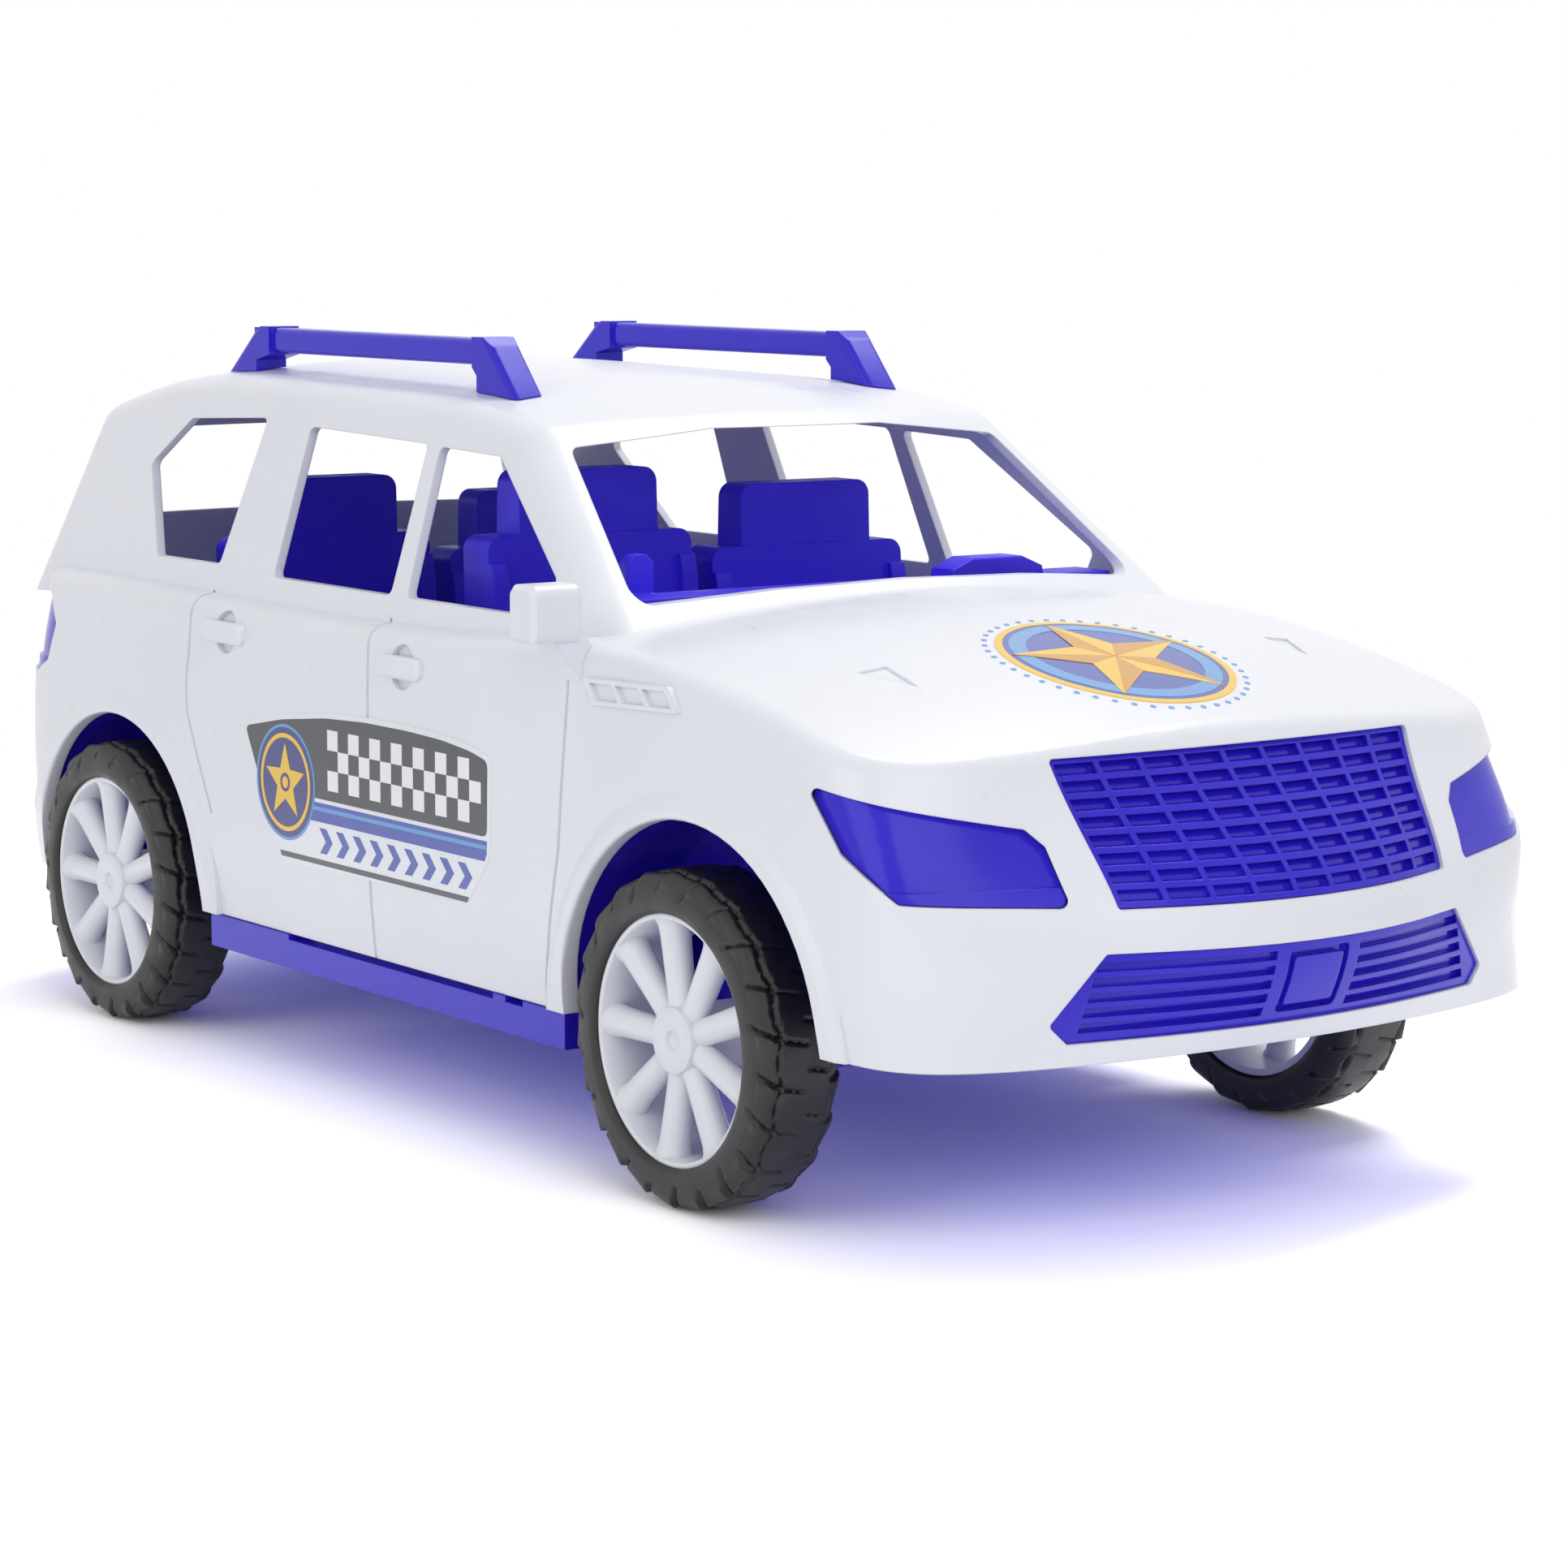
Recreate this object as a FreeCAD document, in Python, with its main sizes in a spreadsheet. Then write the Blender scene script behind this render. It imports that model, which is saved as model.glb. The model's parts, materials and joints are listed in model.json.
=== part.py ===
import FreeCAD, Part
import math
import os

import Sketcher
from FreeCAD import Placement, Rotation, Vector

# Toy patrol car: a moulded sport utility body on a blue chassis that rolls on two axles.
# +X is forward, +Y is the driver's side, +Z is up, and the floor under the tyres is z = 0.
# The origin lies on the floor below the middle of the car.

doc = FreeCAD.newDocument("toy_patrol_car")
sheet = doc.addObject("Spreadsheet::Sheet", "Sizes")


class Length:
    """A number of the sheet, or a sum of them, with the text that binds a property to it."""

    def __init__(self, value, text):
        self.value = value
        self.text = text

    def __float__(self):
        return self.value

    def __add__(self, other):
        other = as_length(other)
        return Length(self.value + other.value, f"({self.text} + {other.text})")

    def __sub__(self, other):
        other = as_length(other)
        return Length(self.value - other.value, f"({self.text} - {other.text})")

    def __mul__(self, other):
        other = as_length(other)
        return Length(self.value * other.value, f"({self.text} * {other.text})")

    def __truediv__(self, other):
        other = as_length(other)
        return Length(self.value / other.value, f"({self.text} / {other.text})")

    def __neg__(self):
        return as_length(0) - self

    def __radd__(self, other):
        return as_length(other) + self

    def __rsub__(self, other):
        return as_length(other) - self

    def __rmul__(self, other):
        return as_length(other) * self


def as_length(number):
    """A plain number joins the arithmetic as itself."""
    return number if isinstance(number, Length) else Length(float(number), repr(float(number)))


def size(alias, value):
    """Writes one driving dimension into the next cell of the sheet."""
    size.row += 1
    sheet.set(f"A{size.row}", alias)
    sheet.set(f"B{size.row}", str(value))
    sheet.setAlias(f"B{size.row}", alias)
    return Length(float(value), f"Sizes.{alias}")


size.row = 0

# Overall
length = size("length", 361)
front_overhang = size("front_overhang", 83.3)
wheelbase = size("wheelbase", 211)
wall = size("wall", 2)
seat_gap = size("seat_gap", 0.15)

# Wheels
wheel_radius = size("wheel_radius", 30)
tyre_face = size("tyre_face", 77)
tyre_width = size("tyre_width", 17.3)
rim_radius = size("rim_radius", 22.4)
rim_wall = size("rim_wall", 2)
rim_inset = size("rim_inset", 1)
rim_depth = size("rim_depth", 15.6)
spoke_count = size("spoke_count", 9)
spoke_radius = size("spoke_radius", 2.35)
hub_radius = size("hub_radius", 6)
hub_recess = size("hub_recess", 1.75)
axle_radius = size("axle_radius", 1.5)
press_gap = size("press_gap", 0.1)
running_gap = size("running_gap", 0.1)
tyre_core = size("tyre_core", 28.8)
lug_count = size("lug_count", 20)
lug_foot = size("lug_foot", 25.4)
sidewall_step = size("sidewall_step", 0.6)
shoulder_row = size("shoulder_row", 3.6)
tread_groove = size("tread_groove", 0.9)
lug_slot = size("lug_slot", 1)
lug_lean = size("lug_lean", 0.9)
tread_block = size("tread_block", 8.5)
block_sag = size("block_sag", 0.3)
shoulder_cut = size("shoulder_cut", 0.9)

# Lower body
sill_edge = size("sill_edge", 29)
bumper_edge = size("bumper_edge", 34)
body_half_width = size("body_half_width", 75)
nose_half = size("nose_half", 30)
corner_lead = size("corner_lead", 37)
corner_trail = size("corner_trail", 15)
crown_depth = size("crown_depth", 300)
shoulder_round = size("shoulder_round", 4.5)
front_arch = size("front_arch", 39)
rear_arch = size("rear_arch", 36.5)
arch_lead = size("arch_lead", 4)
arch_lip = size("arch_lip", 6)
arch_flare = size("arch_flare", 1.2)
arch_edge_round = size("arch_edge_round", 0.8)

# Details moulded on the body
seam_width = size("seam_width", 0.7)
seam_depth = size("seam_depth", 0.45)
handle_rise = size("handle_rise", 1.7)
finger_radius = size("finger_radius", 4.3)
finger_depth = size("finger_depth", 1.2)
vent_rise = size("vent_rise", 0.7)
vent_depth = size("vent_depth", 0.5)
mirror_reach = size("mirror_reach", 85.6)
mirror_root = size("mirror_root", 75.6)
mirror_top = size("mirror_top", 107.4)
mirror_foot = size("mirror_foot", 97)
mirror_back = size("mirror_back", -36.4)
mirror_front = size("mirror_front", -28)
mirror_round = size("mirror_round", 2)

# Greenhouse
belt = size("belt", 98.7)
glass_half_width = size("glass_half_width", 67.5)
tumblehome = size("tumblehome", 0.35)
screen_foot = size("screen_foot", -26.5)
screen_base = size("screen_base", 102.2)
screen_rake = size("screen_rake", 1.298)
screen_bow = size("screen_bow", 10)
tailgate_foot = size("tailgate_foot", 54.8)
tailgate_rake = size("tailgate_rake", 0.25)
tailgate_bow = size("tailgate_bow", 12)
front_pillar_round = size("front_pillar_round", 8)
rear_pillar_round = size("rear_pillar_round", 11)
roof_round = size("roof_round", 7)
roof_top = size("roof_top", 140.9)

front_axle = length / 2 - front_overhang
rear_axle = front_axle - wheelbase
axle_height = wheel_radius
ARCHES = {"front": (front_axle + arch_lead, front_arch), "rear": (rear_axle + arch_lead, rear_arch)}


def at_front(offset):
    """A station measured forward from the front axle."""
    return float(front_axle) + float(offset)


def at_rear(offset):
    """A station measured forward from the rear axle."""
    return float(rear_axle) + float(offset)


# The body's skin: one form that is drawn again for each depth below the outer surface

NOSE_LEVELS = [
    # height, reach ahead of the front axle, bow at nose_half, side start
    (18, 73.0, 1.9, 44.0),
    (38, 78.2, 2.8, 47.0),
    (52, 83.3, 5.5, 48.0),
    (60, 81.8, 5.6, 49.0),
    (72, 71.8, 3.6, 43.0),
    (84, 61.4, 1.1, 35.0),
    (108, 40.0, 0.4, 19.0),
]
TAIL_LEVELS = [
    # reach behind the rear axle, bow at nose_half, side end
    (64.0, 1.7, 24.0),
    (66.0, 1.7, 25.0),
    (66.7, 1.7, 26.0),
    (66.7, 1.7, 26.0),
    (65.5, 1.7, 25.0),
    (61.0, 1.7, 22.0),
    (53.0, 1.7, 15.0),
]
SIDE_TUCK = [2.6, 0.7, 0.0, 0.0, 0.0, 0.3, 3.0]
CORNER_TURN = 0.6


def end_edges(station, height, reach, bow, start, half_width, inset, direction):
    """The nose or tail of one plan outline: a bowed middle and two corners square to the sides."""
    middle = float(nose_half)
    lead = (float(corner_lead) - CORNER_TURN * inset) / math.hypot(2 * bow, middle)
    trail = float(corner_trail) - CORNER_TURN * inset
    corner = [(reach - bow, middle), (reach - bow - 2 * bow * lead, middle * (1 + lead)),
              (start + trail, half_width), (start, half_width)]
    centre = [(reach - bow, middle), (reach + bow, 0.0), (reach - bow, -middle)]
    left = list(reversed(corner))
    right = [(x, -y) for x, y in corner]
    edges = []
    for poles in (left, centre, right):
        curve = Part.BezierCurve()
        curve.setPoles([Vector(station + direction * x, y * direction, height) for x, y in poles])
        edges.append(curve.toShape())
    return edges


def plan_outline(level, inset):
    """The closed outline of the lower body at one height, nose first and then the right side."""
    height, nose, nose_bow, nose_start = NOSE_LEVELS[level]
    rear, tail_bow, tail_start = TAIL_LEVELS[level]
    half_width = float(body_half_width) - SIDE_TUCK[level] - inset
    nose_edges = end_edges(float(front_axle), height, nose - inset * nose_slant(level), nose_bow,
                           nose_start, half_width, inset, 1)
    tail_edges = end_edges(float(rear_axle), height, rear - inset, tail_bow,
                           tail_start, half_width, inset, -1)
    right = Part.makeLine(nose_edges[-1].Vertexes[-1].Point, tail_edges[0].Vertexes[0].Point)
    left = Part.makeLine(tail_edges[-1].Vertexes[-1].Point, nose_edges[0].Vertexes[0].Point)
    return Part.Wire(nose_edges + [right] + tail_edges + [left])


def nose_slant(level):
    """How much further a raked nose steps back for the same wall."""
    low = NOSE_LEVELS[max(level - 1, 0)]
    high = NOSE_LEVELS[min(level + 1, len(NOSE_LEVELS) - 1)]
    slope = (high[1] - low[1]) / (high[0] - low[0])
    return math.hypot(1, slope)


def crowned_block(profile, drop):
    """A block under a long profile, crowned across the car by a turn about a deep axis."""
    points = [Vector(x, 0, z - drop) for x, z in profile]
    curve = Part.BSplineCurve()
    curve.interpolate(points)
    foot = float(crown_depth) / 2
    low_end = Vector(points[-1].x, 0, -foot)
    low_start = Vector(points[0].x, 0, -foot)
    sides = [Part.makeLine(points[-1], low_end), Part.makeLine(low_end, low_start),
             Part.makeLine(low_start, points[0])]
    face = Part.Face(Part.Wire([curve.toShape()] + sides))
    half_turn = 18
    pivot = Vector(0, 0, -float(crown_depth))
    face.rotate(pivot, Vector(1, 0, 0), -half_turn)
    return face.revolve(pivot, Vector(1, 0, 0), 2 * half_turn)


def hood_profile():
    """The middle line of the bonnet and, behind the screen, of the belt ledge."""
    bonnet = [(95, 71), (62, 85.8), (30, 95.4), (0, 100.8), (-27, 103), (-45, 102.2), (-80, 100.6)]
    ledge = [(54, 100.2), (-20, 101), (-75, 99.5)]
    return [(at_front(x), z) for x, z in bonnet] + [(at_rear(x), z) for x, z in ledge]


def roof_profile():
    """The middle line of the roof, from over the screen to past the tailgate."""
    top = float(roof_top)
    front = [(5, top - 25), (-30, top - 15), (-64, top - 7.6), (-87, top - 3), (-120, top - 0.6)]
    rear = [(50, top), (-6, top - 1.6), (-38, top - 9), (-80, top - 24)]
    return [(at_front(x), z) for x, z in front] + [(at_rear(x), z) for x, z in rear]


def rounded(solid, edges, radius):
    return solid.makeFillet(radius, edges) if radius > 0 else solid


def top_face(solid):
    return max(solid.Faces, key=lambda face: face.CenterOfMass.z)


def lower_block(inset):
    """The lower body with sharp shoulders, solid, drawn inset below its outer surface."""
    outlines = [plan_outline(level, inset) for level in range(len(NOSE_LEVELS))]
    block = Part.makeLoft(outlines, True, False)
    return block.common(crowned_block(hood_profile(), inset)).Solids[0]


def lower_form(inset):
    """The lower body with its shoulders rounded."""
    block = lower_block(inset)
    return rounded(block, top_face(block).OuterWire.Edges, float(shoulder_round) - inset)


def glass_outline(height, inset):
    """The greenhouse outline at one height: screen, left side, tailgate, right side."""
    half_width = float(glass_half_width) - float(tumblehome) * (height - float(belt)) - inset
    rise = height - float(screen_base)
    screen = at_front(screen_foot) - float(screen_rake) * rise
    screen -= inset * math.hypot(1, float(screen_rake))
    gate = at_rear(-float(tailgate_foot)) + float(tailgate_rake) * rise + inset
    corners = [Vector(screen - float(screen_bow), -half_width, height),
               Vector(screen - float(screen_bow), half_width, height),
               Vector(gate + float(tailgate_bow), half_width, height),
               Vector(gate + float(tailgate_bow), -half_width, height)]
    front = Part.Arc(corners[0], Vector(screen, 0, height), corners[1]).toShape()
    back = Part.Arc(corners[2], Vector(gate, 0, height), corners[3]).toShape()
    return Part.Wire([front, Part.makeLine(corners[1], corners[2]),
                      back, Part.makeLine(corners[3], corners[0])])


def upper_form(inset):
    """The greenhouse, solid, drawn inset below its outer surface."""
    low, high = 88, 150
    block = Part.makeLoft([glass_outline(low, inset), glass_outline(high, inset)], True, True)
    block = block.common(crowned_block(roof_profile(), inset)).Solids[0]
    pillars = [edge for edge in block.Edges
               if edge.BoundBox.ZMin < low + 1 and edge.BoundBox.ZMax > float(belt) + 10]
    front = [edge for edge in pillars if edge.CenterOfMass.x > 0]
    rear = [edge for edge in pillars if edge.CenterOfMass.x < 0]
    block = rounded(block, front, float(front_pillar_round) - inset)
    rear = [edge for edge in block.Edges if any(
        edge.CenterOfMass.isEqual(old.CenterOfMass, 0.01) for old in rear)]
    block = rounded(block, rear, float(rear_pillar_round) - inset)
    return rounded(block, top_face(block).OuterWire.Edges, float(roof_round) - inset)


made = []


def keep(label, shape):
    """Stores one finished shape as the sub-part of this name."""
    node = doc.addObject("Part::Feature", label)
    node.Label = label
    node.Shape = shape
    node.Placement = Placement()
    made.append(node)
    return node


def soft_wire(points, radius):
    """A closed outline with its corners rounded."""
    edges = []
    starts = []
    ends = []
    count = len(points)
    for index, corner in enumerate(points):
        before = (points[index - 1] - corner).normalize()
        after = (points[(index + 1) % count] - corner).normalize()
        half_angle = before.getAngle(after) / 2
        cut = radius / math.tan(half_angle)
        start, end = corner + before * cut, corner + after * cut
        middle = (before + after).normalize()
        centre = corner + middle * (radius / math.sin(half_angle))
        starts.append(start)
        ends.append(end)
        edges.append(Part.Arc(start, centre - middle * radius, end).toShape())
        if index:
            edges.insert(-1, Part.makeLine(ends[index - 1], start))
    edges.append(Part.makeLine(ends[-1], starts[0]))
    return Part.Wire(edges)


def side_prism(outline, radius, near, far):
    """An outline of (x ahead of the front axle, z) drawn across the car from y = near to far."""
    points = [Vector(at_front(x), near, z) for x, z in outline]
    face = Part.Face(soft_wire(points, radius))
    return face.extrude(Vector(0, far - near, 0))


def end_prism(outline, radius, back, front):
    """An outline of (y, z) drawn along the car between two stations."""
    points = [Vector(back, y, z) for y, z in outline]
    face = Part.Face(soft_wire(points, radius))
    return face.extrude(Vector(front - back, 0, 0))


def mirrored(shape):
    return shape.mirror(Vector(0, 0, 0), Vector(0, 1, 0))


def shrunk(outline, margin):
    """A convex outline pulled in towards its middle by about a margin."""
    middle_y = sum(y for y, z in outline) / len(outline)
    middle_z = sum(z for y, z in outline) / len(outline)
    half_y = max(abs(y - middle_y) for y, z in outline)
    half_z = max(abs(z - middle_z) for y, z in outline)
    return [(middle_y + (y - middle_y) * (1 - margin / half_y),
             middle_z + (z - middle_z) * (1 - margin / half_z)) for y, z in outline]


forms = {}


def layer(cutter, outer, inner):
    """The part of the lower body inside a cutter, between two depths below its surface."""
    for depth in (outer, inner):
        if depth not in forms:
            forms[depth] = lower_block(depth)
    return forms[outer].common(cutter).cut(forms[inner])


# Openings in the body

sill_line = float(belt)
SIDE_WINDOWS = {
    "door_front": [(-100.5, sill_line + 0.2), (-104.1, 127.4), (-82, 126.6),
                   (-51.0, 105.4), (-57.0, sill_line + 0.2)],
    "door_rear": [(-152.3, sill_line + 0.4), (-154.6, 129.0), (-108.6, 127.7),
                  (-106.5, sill_line + 0.2)],
    "quarter": [(-202.4, sill_line + 1.3), (-216.8, 118.6), (-204.5, 128.6),
                (-172.7, 130.0), (-175.3, sill_line + 1.3)],
}
GRILLE = [(-41.2, 83.2), (41.2, 83.2), (37.4, 59.5), (-37.4, 59.5)]
LOWER_GRILLE = [(-40.2, 52.5), (40.2, 52.5), (49.8, 41.0), (46.6, 37.8), (-46.6, 37.8), (-49.8, 41.0)]
SCREEN = [(-59.5, 101.9), (-30, 103.9), (0, 104.6), (30, 103.9), (59.5, 101.9),
          (50.8, 128.6), (20, 131.6), (-20, 131.6), (-50.8, 128.6)]
REAR_SCREEN = [(-55.5, 104.5), (55.5, 104.5), (48.5, 124), (-48.5, 124)]

lower_outer = lower_form(0.0)
upper_outer = upper_form(0.0)
lower_inner = lower_block(float(wall))
upper_inner = upper_form(float(wall))

reach = float(body_half_width) + 20
shell_outer = lower_outer.fuse(upper_outer)
flared_block = lower_block(-float(arch_flare) - 0.3)


def arch_lip_ring(middle_x, inner, side):
    """The flared lip round one wheel opening."""
    outer = inner + float(arch_lip)
    root = float(body_half_width) - float(wall)
    face_y = float(body_half_width) + float(arch_flare)
    turn = float(arch_edge_round)
    skin = float(body_half_width) - 0.3
    crest = inner + turn + 1
    profile = [(inner, root)]
    for step in range(4):
        angle = math.radians(30 * step)
        profile.append((inner + turn - turn * math.cos(angle), face_y - turn + turn * math.sin(angle)))
    for step in range(5):
        share = step / 4
        fall = share * share * (3 - 2 * share)
        profile.append((crest + (outer - crest) * share, face_y - (face_y - skin) * fall))
    profile.append((outer, root))
    points = [Vector(middle_x, side * y, float(axle_height) - radius) for radius, y in profile]
    face = Part.Face(Part.makePolygon(points + points[:1]))
    ring = face.revolve(Vector(middle_x, 0, float(axle_height)), Vector(0, 1, 0), 360)
    upper_half = Part.makeBox(4 * outer, 4 * face_y, 2 * outer,
                              Vector(middle_x - 2 * outer, -2 * face_y, float(sill_edge)))
    return ring.common(upper_half).common(flared_block)


shell = shell_outer
for middle_x, radius in ARCHES.values():
    for side in (-1, 1):
        shell = shell.fuse(arch_lip_ring(float(middle_x), float(radius), side))
shell = shell.cut(lower_inner.fuse(upper_inner))
cuts = [side_prism(window, 1.5, -reach, reach) for window in SIDE_WINDOWS.values()]
cuts.append(end_prism(SCREEN, 2.5, at_front(-100), at_front(-22)))
cuts.append(end_prism(REAR_SCREEN, 4, -float(length) / 2 - 5, at_rear(-30)))
cuts.append(end_prism(GRILLE, 0.8, at_front(50), at_front(100)))
cuts.append(end_prism(LOWER_GRILLE, 0.8, at_front(50), at_front(100)))
for middle_x, radius in ARCHES.values():
    cuts.append(Part.makeCylinder(float(radius), 2 * reach,
                                  Vector(float(middle_x), -reach, float(axle_height)), Vector(0, 1, 0)))
below = Part.makeBox(2 * float(length), 2 * reach, 2 * float(sill_edge),
                     Vector(-float(length), -reach, -float(sill_edge)))
cuts.append(below)
nose_cut = Part.makeBox(100, 2 * reach, float(bumper_edge), Vector(at_front(30), -reach, 0))
cuts.append(nose_cut)
for cutter in cuts:
    shell = shell.cut(cutter)


def corner_prism(outline, radius, direction, near, far):
    """An outline of body points drawn along one flat direction through the right front corner."""
    toward = Vector(*direction).normalize()
    points = [Vector(at_front(x), y, z) for x, y, z in outline]
    flat = [point - toward * point.dot(toward) + toward * near for point in points]
    face = Part.Face(soft_wire(flat, radius))
    return face.extrude(toward * (far - near))


HEADLAMP = [(37.5, -74.8, 79.4), (60.2, -46.5, 72.6), (63.3, -44.6, 69.8), (69.0, -43.4, 60.0),
            (60.5, -73.2, 61.5), (47.5, -74.8, 68.6)]
TAIL_LAMP = [(-239.5, -73.5, 90.0), (-234.6, -74.0, 83.4), (-238.8, -74.0, 75.0), (-246, -72, 72.0),
             (-266, -62, 72.5), (-264.0, -60.0, 88.0)]
HEADLAMP_WAY = (0.75, -0.66, 0)
TAIL_LAMP_WAY = (-0.62, -0.78, 0)
LAMP_ROUND = 1.2
LAMP_NEAR = 60
LAMP_FAR = 250
head_hole = corner_prism(HEADLAMP, LAMP_ROUND, HEADLAMP_WAY, LAMP_NEAR, LAMP_FAR)
tail_hole = corner_prism(TAIL_LAMP, LAMP_ROUND, TAIL_LAMP_WAY, LAMP_NEAR, LAMP_FAR)
for hole in (head_hole, tail_hole):
    shell = shell.cut(hole).cut(mirrored(hole))

# Door seams, bars over finger dishes, wing vents, the one mirror and the tailgate's own marks

DOOR_SEAMS = [
    [(-33.7, 92.5), (-34.2, 81.1), (-36.4, 58.8), (-42.1, 33.3), (-43, 25)],
    [(-103.8, 94.8), (-103, 80.5), (-102.4, 58), (-103.4, 25)],
    [(-174.3, 94.8), (-174.6, 84), (-175.9, 75.5), (-175.4, 69.5), (-171.3, 61), (-165.6, 50)],
]
HANDLES = [(-167.5, -151.2, 85.6, 89.9), (-98.1, -83.2, 84.7, 89.0)]
HANDLE_CUT = 1.2
VENT = [(-24.5, 86.2), (2.3, 87.2), (-1.5, 91.6), (-28.3, 91.0)]
VENT_CELLS = 3
VENT_EDGE = 0.04
VENT_RIB = 0.06
TAILGATE = [(-61, 53), (61, 53), (59.5, 98), (50.5, 130), (-50.5, 130), (-59.5, 98)]
GATE_HANDLE = [(-14, 80), (14, 80), (14, 83.4), (-14, 83.4)]
HOOD_MARK = [(19.2, 50.1), (30, 45.3), (19.3, 44.0)]

grille_face = float(size("grille_face", 0.7))
grille_floor = float(size("grille_floor", 1.9))
skins = {}


def outside(tool, depth):
    """What a tool takes from the lower body when it only reaches a depth below the skin."""
    if depth not in skins:
        skins[depth] = lower_form(depth)
    return tool.cut(skins[depth])


def band(points, width):
    """A closed outline of one width along an open line of points."""
    left = []
    right = []
    for index, spot in enumerate(points):
        before = points[max(index - 1, 0)]
        after = points[min(index + 1, len(points) - 1)]
        run = math.hypot(after[0] - before[0], after[1] - before[1])
        step = (-(after[1] - before[1]) / run * width / 2, (after[0] - before[0]) / run * width / 2)
        left.append((spot[0] + step[0], spot[1] + step[1]))
        right.append((spot[0] - step[0], spot[1] - step[1]))
    return left + list(reversed(right))


def flat_prism(outline, near, far):
    """A sharp outline of (x ahead of the front axle, z) drawn across the car."""
    points = [Vector(at_front(x), near, z) for x, z in outline]
    return Part.Face(Part.makePolygon(points + points[:1])).extrude(Vector(0, far - near, 0))


def between(low_a, high_a, low_b, high_b, along, up):
    """A point inside a four-cornered outline at two fractions of its width and height."""
    low = [a + (b - a) * along for a, b in zip(low_a, high_a)]
    high = [a + (b - a) * along for a, b in zip(low_b, high_b)]
    return tuple(a + (b - a) * up for a, b in zip(low, high))


def vent_cell(index):
    """One pocket of the wing vent."""
    low_back, low_front, top_front, top_back = VENT
    pitch = (1 - 2 * VENT_EDGE) / VENT_CELLS
    start = VENT_EDGE + pitch * index + VENT_RIB / 2
    end = start + pitch - VENT_RIB
    return [between(low_back, low_front, top_back, top_front, along, up)
            for along, up in ((start, 0.2), (end, 0.2), (end, 0.8), (start, 0.8))]


skin_y = float(body_half_width)
inside_y = skin_y - 1.6
seam_tools = [flat_prism(band(points, float(seam_width)), -reach, reach) for points in DOOR_SEAMS]
for tool in seam_tools:
    shell = shell.cut(outside(tool, float(seam_depth)))

gate_band = end_prism(TAILGATE, 4, -float(length) / 2 - 5, at_rear(-34)).cut(
    end_prism(shrunk(TAILGATE, float(seam_width)), 3.4, -float(length) / 2 - 10, at_rear(-30)))
shell = shell.cut(outside(gate_band, float(seam_depth)).cut(upper_form(float(seam_depth))))
gate_bar = end_prism(GATE_HANDLE, 1.2, -float(length) / 2 - 5, at_rear(-50))
shell = shell.fuse(layer(gate_bar, -1.2, grille_floor))

for back, front, low, high in HANDLES:
    dish = Part.makeCylinder(float(finger_radius), 2 * reach,
                             Vector(at_front((back + front) / 2), -reach, (low + high) / 2),
                             Vector(0, 1, 0))
    shell = shell.cut(outside(dish, float(finger_depth)))
    corners = [(back + HANDLE_CUT, low), (front - HANDLE_CUT, low), (front, low + HANDLE_CUT),
               (front, high - HANDLE_CUT), (front - HANDLE_CUT, high), (back + HANDLE_CUT, high),
               (back, high - HANDLE_CUT), (back, low + HANDLE_CUT)]
    bar = flat_prism(corners, inside_y, skin_y + float(handle_rise) - 0.5)
    outer_face = max(bar.Faces, key=lambda face: face.CenterOfMass.y)
    bar = bar.makeChamfer(0.7, outer_face.OuterWire.Edges)
    shell = shell.fuse(bar).fuse(mirrored(bar))

vent = side_prism(VENT, 0.8, inside_y, skin_y + float(vent_rise) - 0.3)
for index in range(VENT_CELLS):
    vent = vent.cut(flat_prism(vent_cell(index), skin_y - float(vent_depth), reach))
shell = shell.fuse(vent).fuse(mirrored(vent))

MIRROR = [(float(mirror_back), float(mirror_foot)), (float(mirror_front), float(mirror_foot)),
          (float(mirror_front), float(mirror_top)), (float(mirror_back), float(mirror_top))]
mirror = side_prism(MIRROR, float(mirror_round), float(mirror_root), float(mirror_reach))
outer_face = max(mirror.Faces, key=lambda face: face.CenterOfMass.y)
mirror = mirror.makeChamfer(1, outer_face.OuterWire.Edges)
glass = Part.makeBox(1, 6.2, 7, Vector(at_front(mirror_back) - 0.5, float(mirror_root) + 1.9,
                                       float(mirror_foot) + 1.7))
arm_points = [(71.5, 92.6), (73.4, 88.6), (76.2, 92.4), (80.5, 97.4), (80.5, 99), (75.8, 101),
              (71.5, 95.2)]
arm = Part.Face(Part.makePolygon([Vector(at_front(-36), y, z)
                                  for y, z in arm_points + arm_points[:1]]))
arm = arm.extrude(Vector(6.5, 0, 0))
mirror = mirror.cut(glass).fuse(arm)
shell = shell.fuse(mirrored(mirror))

mark_points = [Vector(at_front(x), y, 70) for x, y in HOOD_MARK]
mark = Part.Face(Part.makePolygon(mark_points + mark_points[:1])).extrude(Vector(0, 0, 50))
mark = outside(mark, float(seam_depth))
shell = shell.cut(mark).cut(mirrored(mark))

keep("body_shell", max(shell.Solids, key=lambda part: part.Volume))

# Inserts that fill the holes from inside: a face just below the skin and a rim behind the wall

insert_depth = float(wall) + float(seat_gap)
insert_back = insert_depth + 1.4


def insert(hole, recess):
    """A plug that fills a hole, slightly smaller, set back from the skin."""
    return layer(hole, recess, insert_back)


def flange(outline, margin):
    """The rim behind the wall that stops an insert from coming out."""
    grown = end_prism(shrunk(outline, -margin), 0.8, at_front(30), at_front(100))
    return layer(grown, insert_depth, insert_back)


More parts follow.
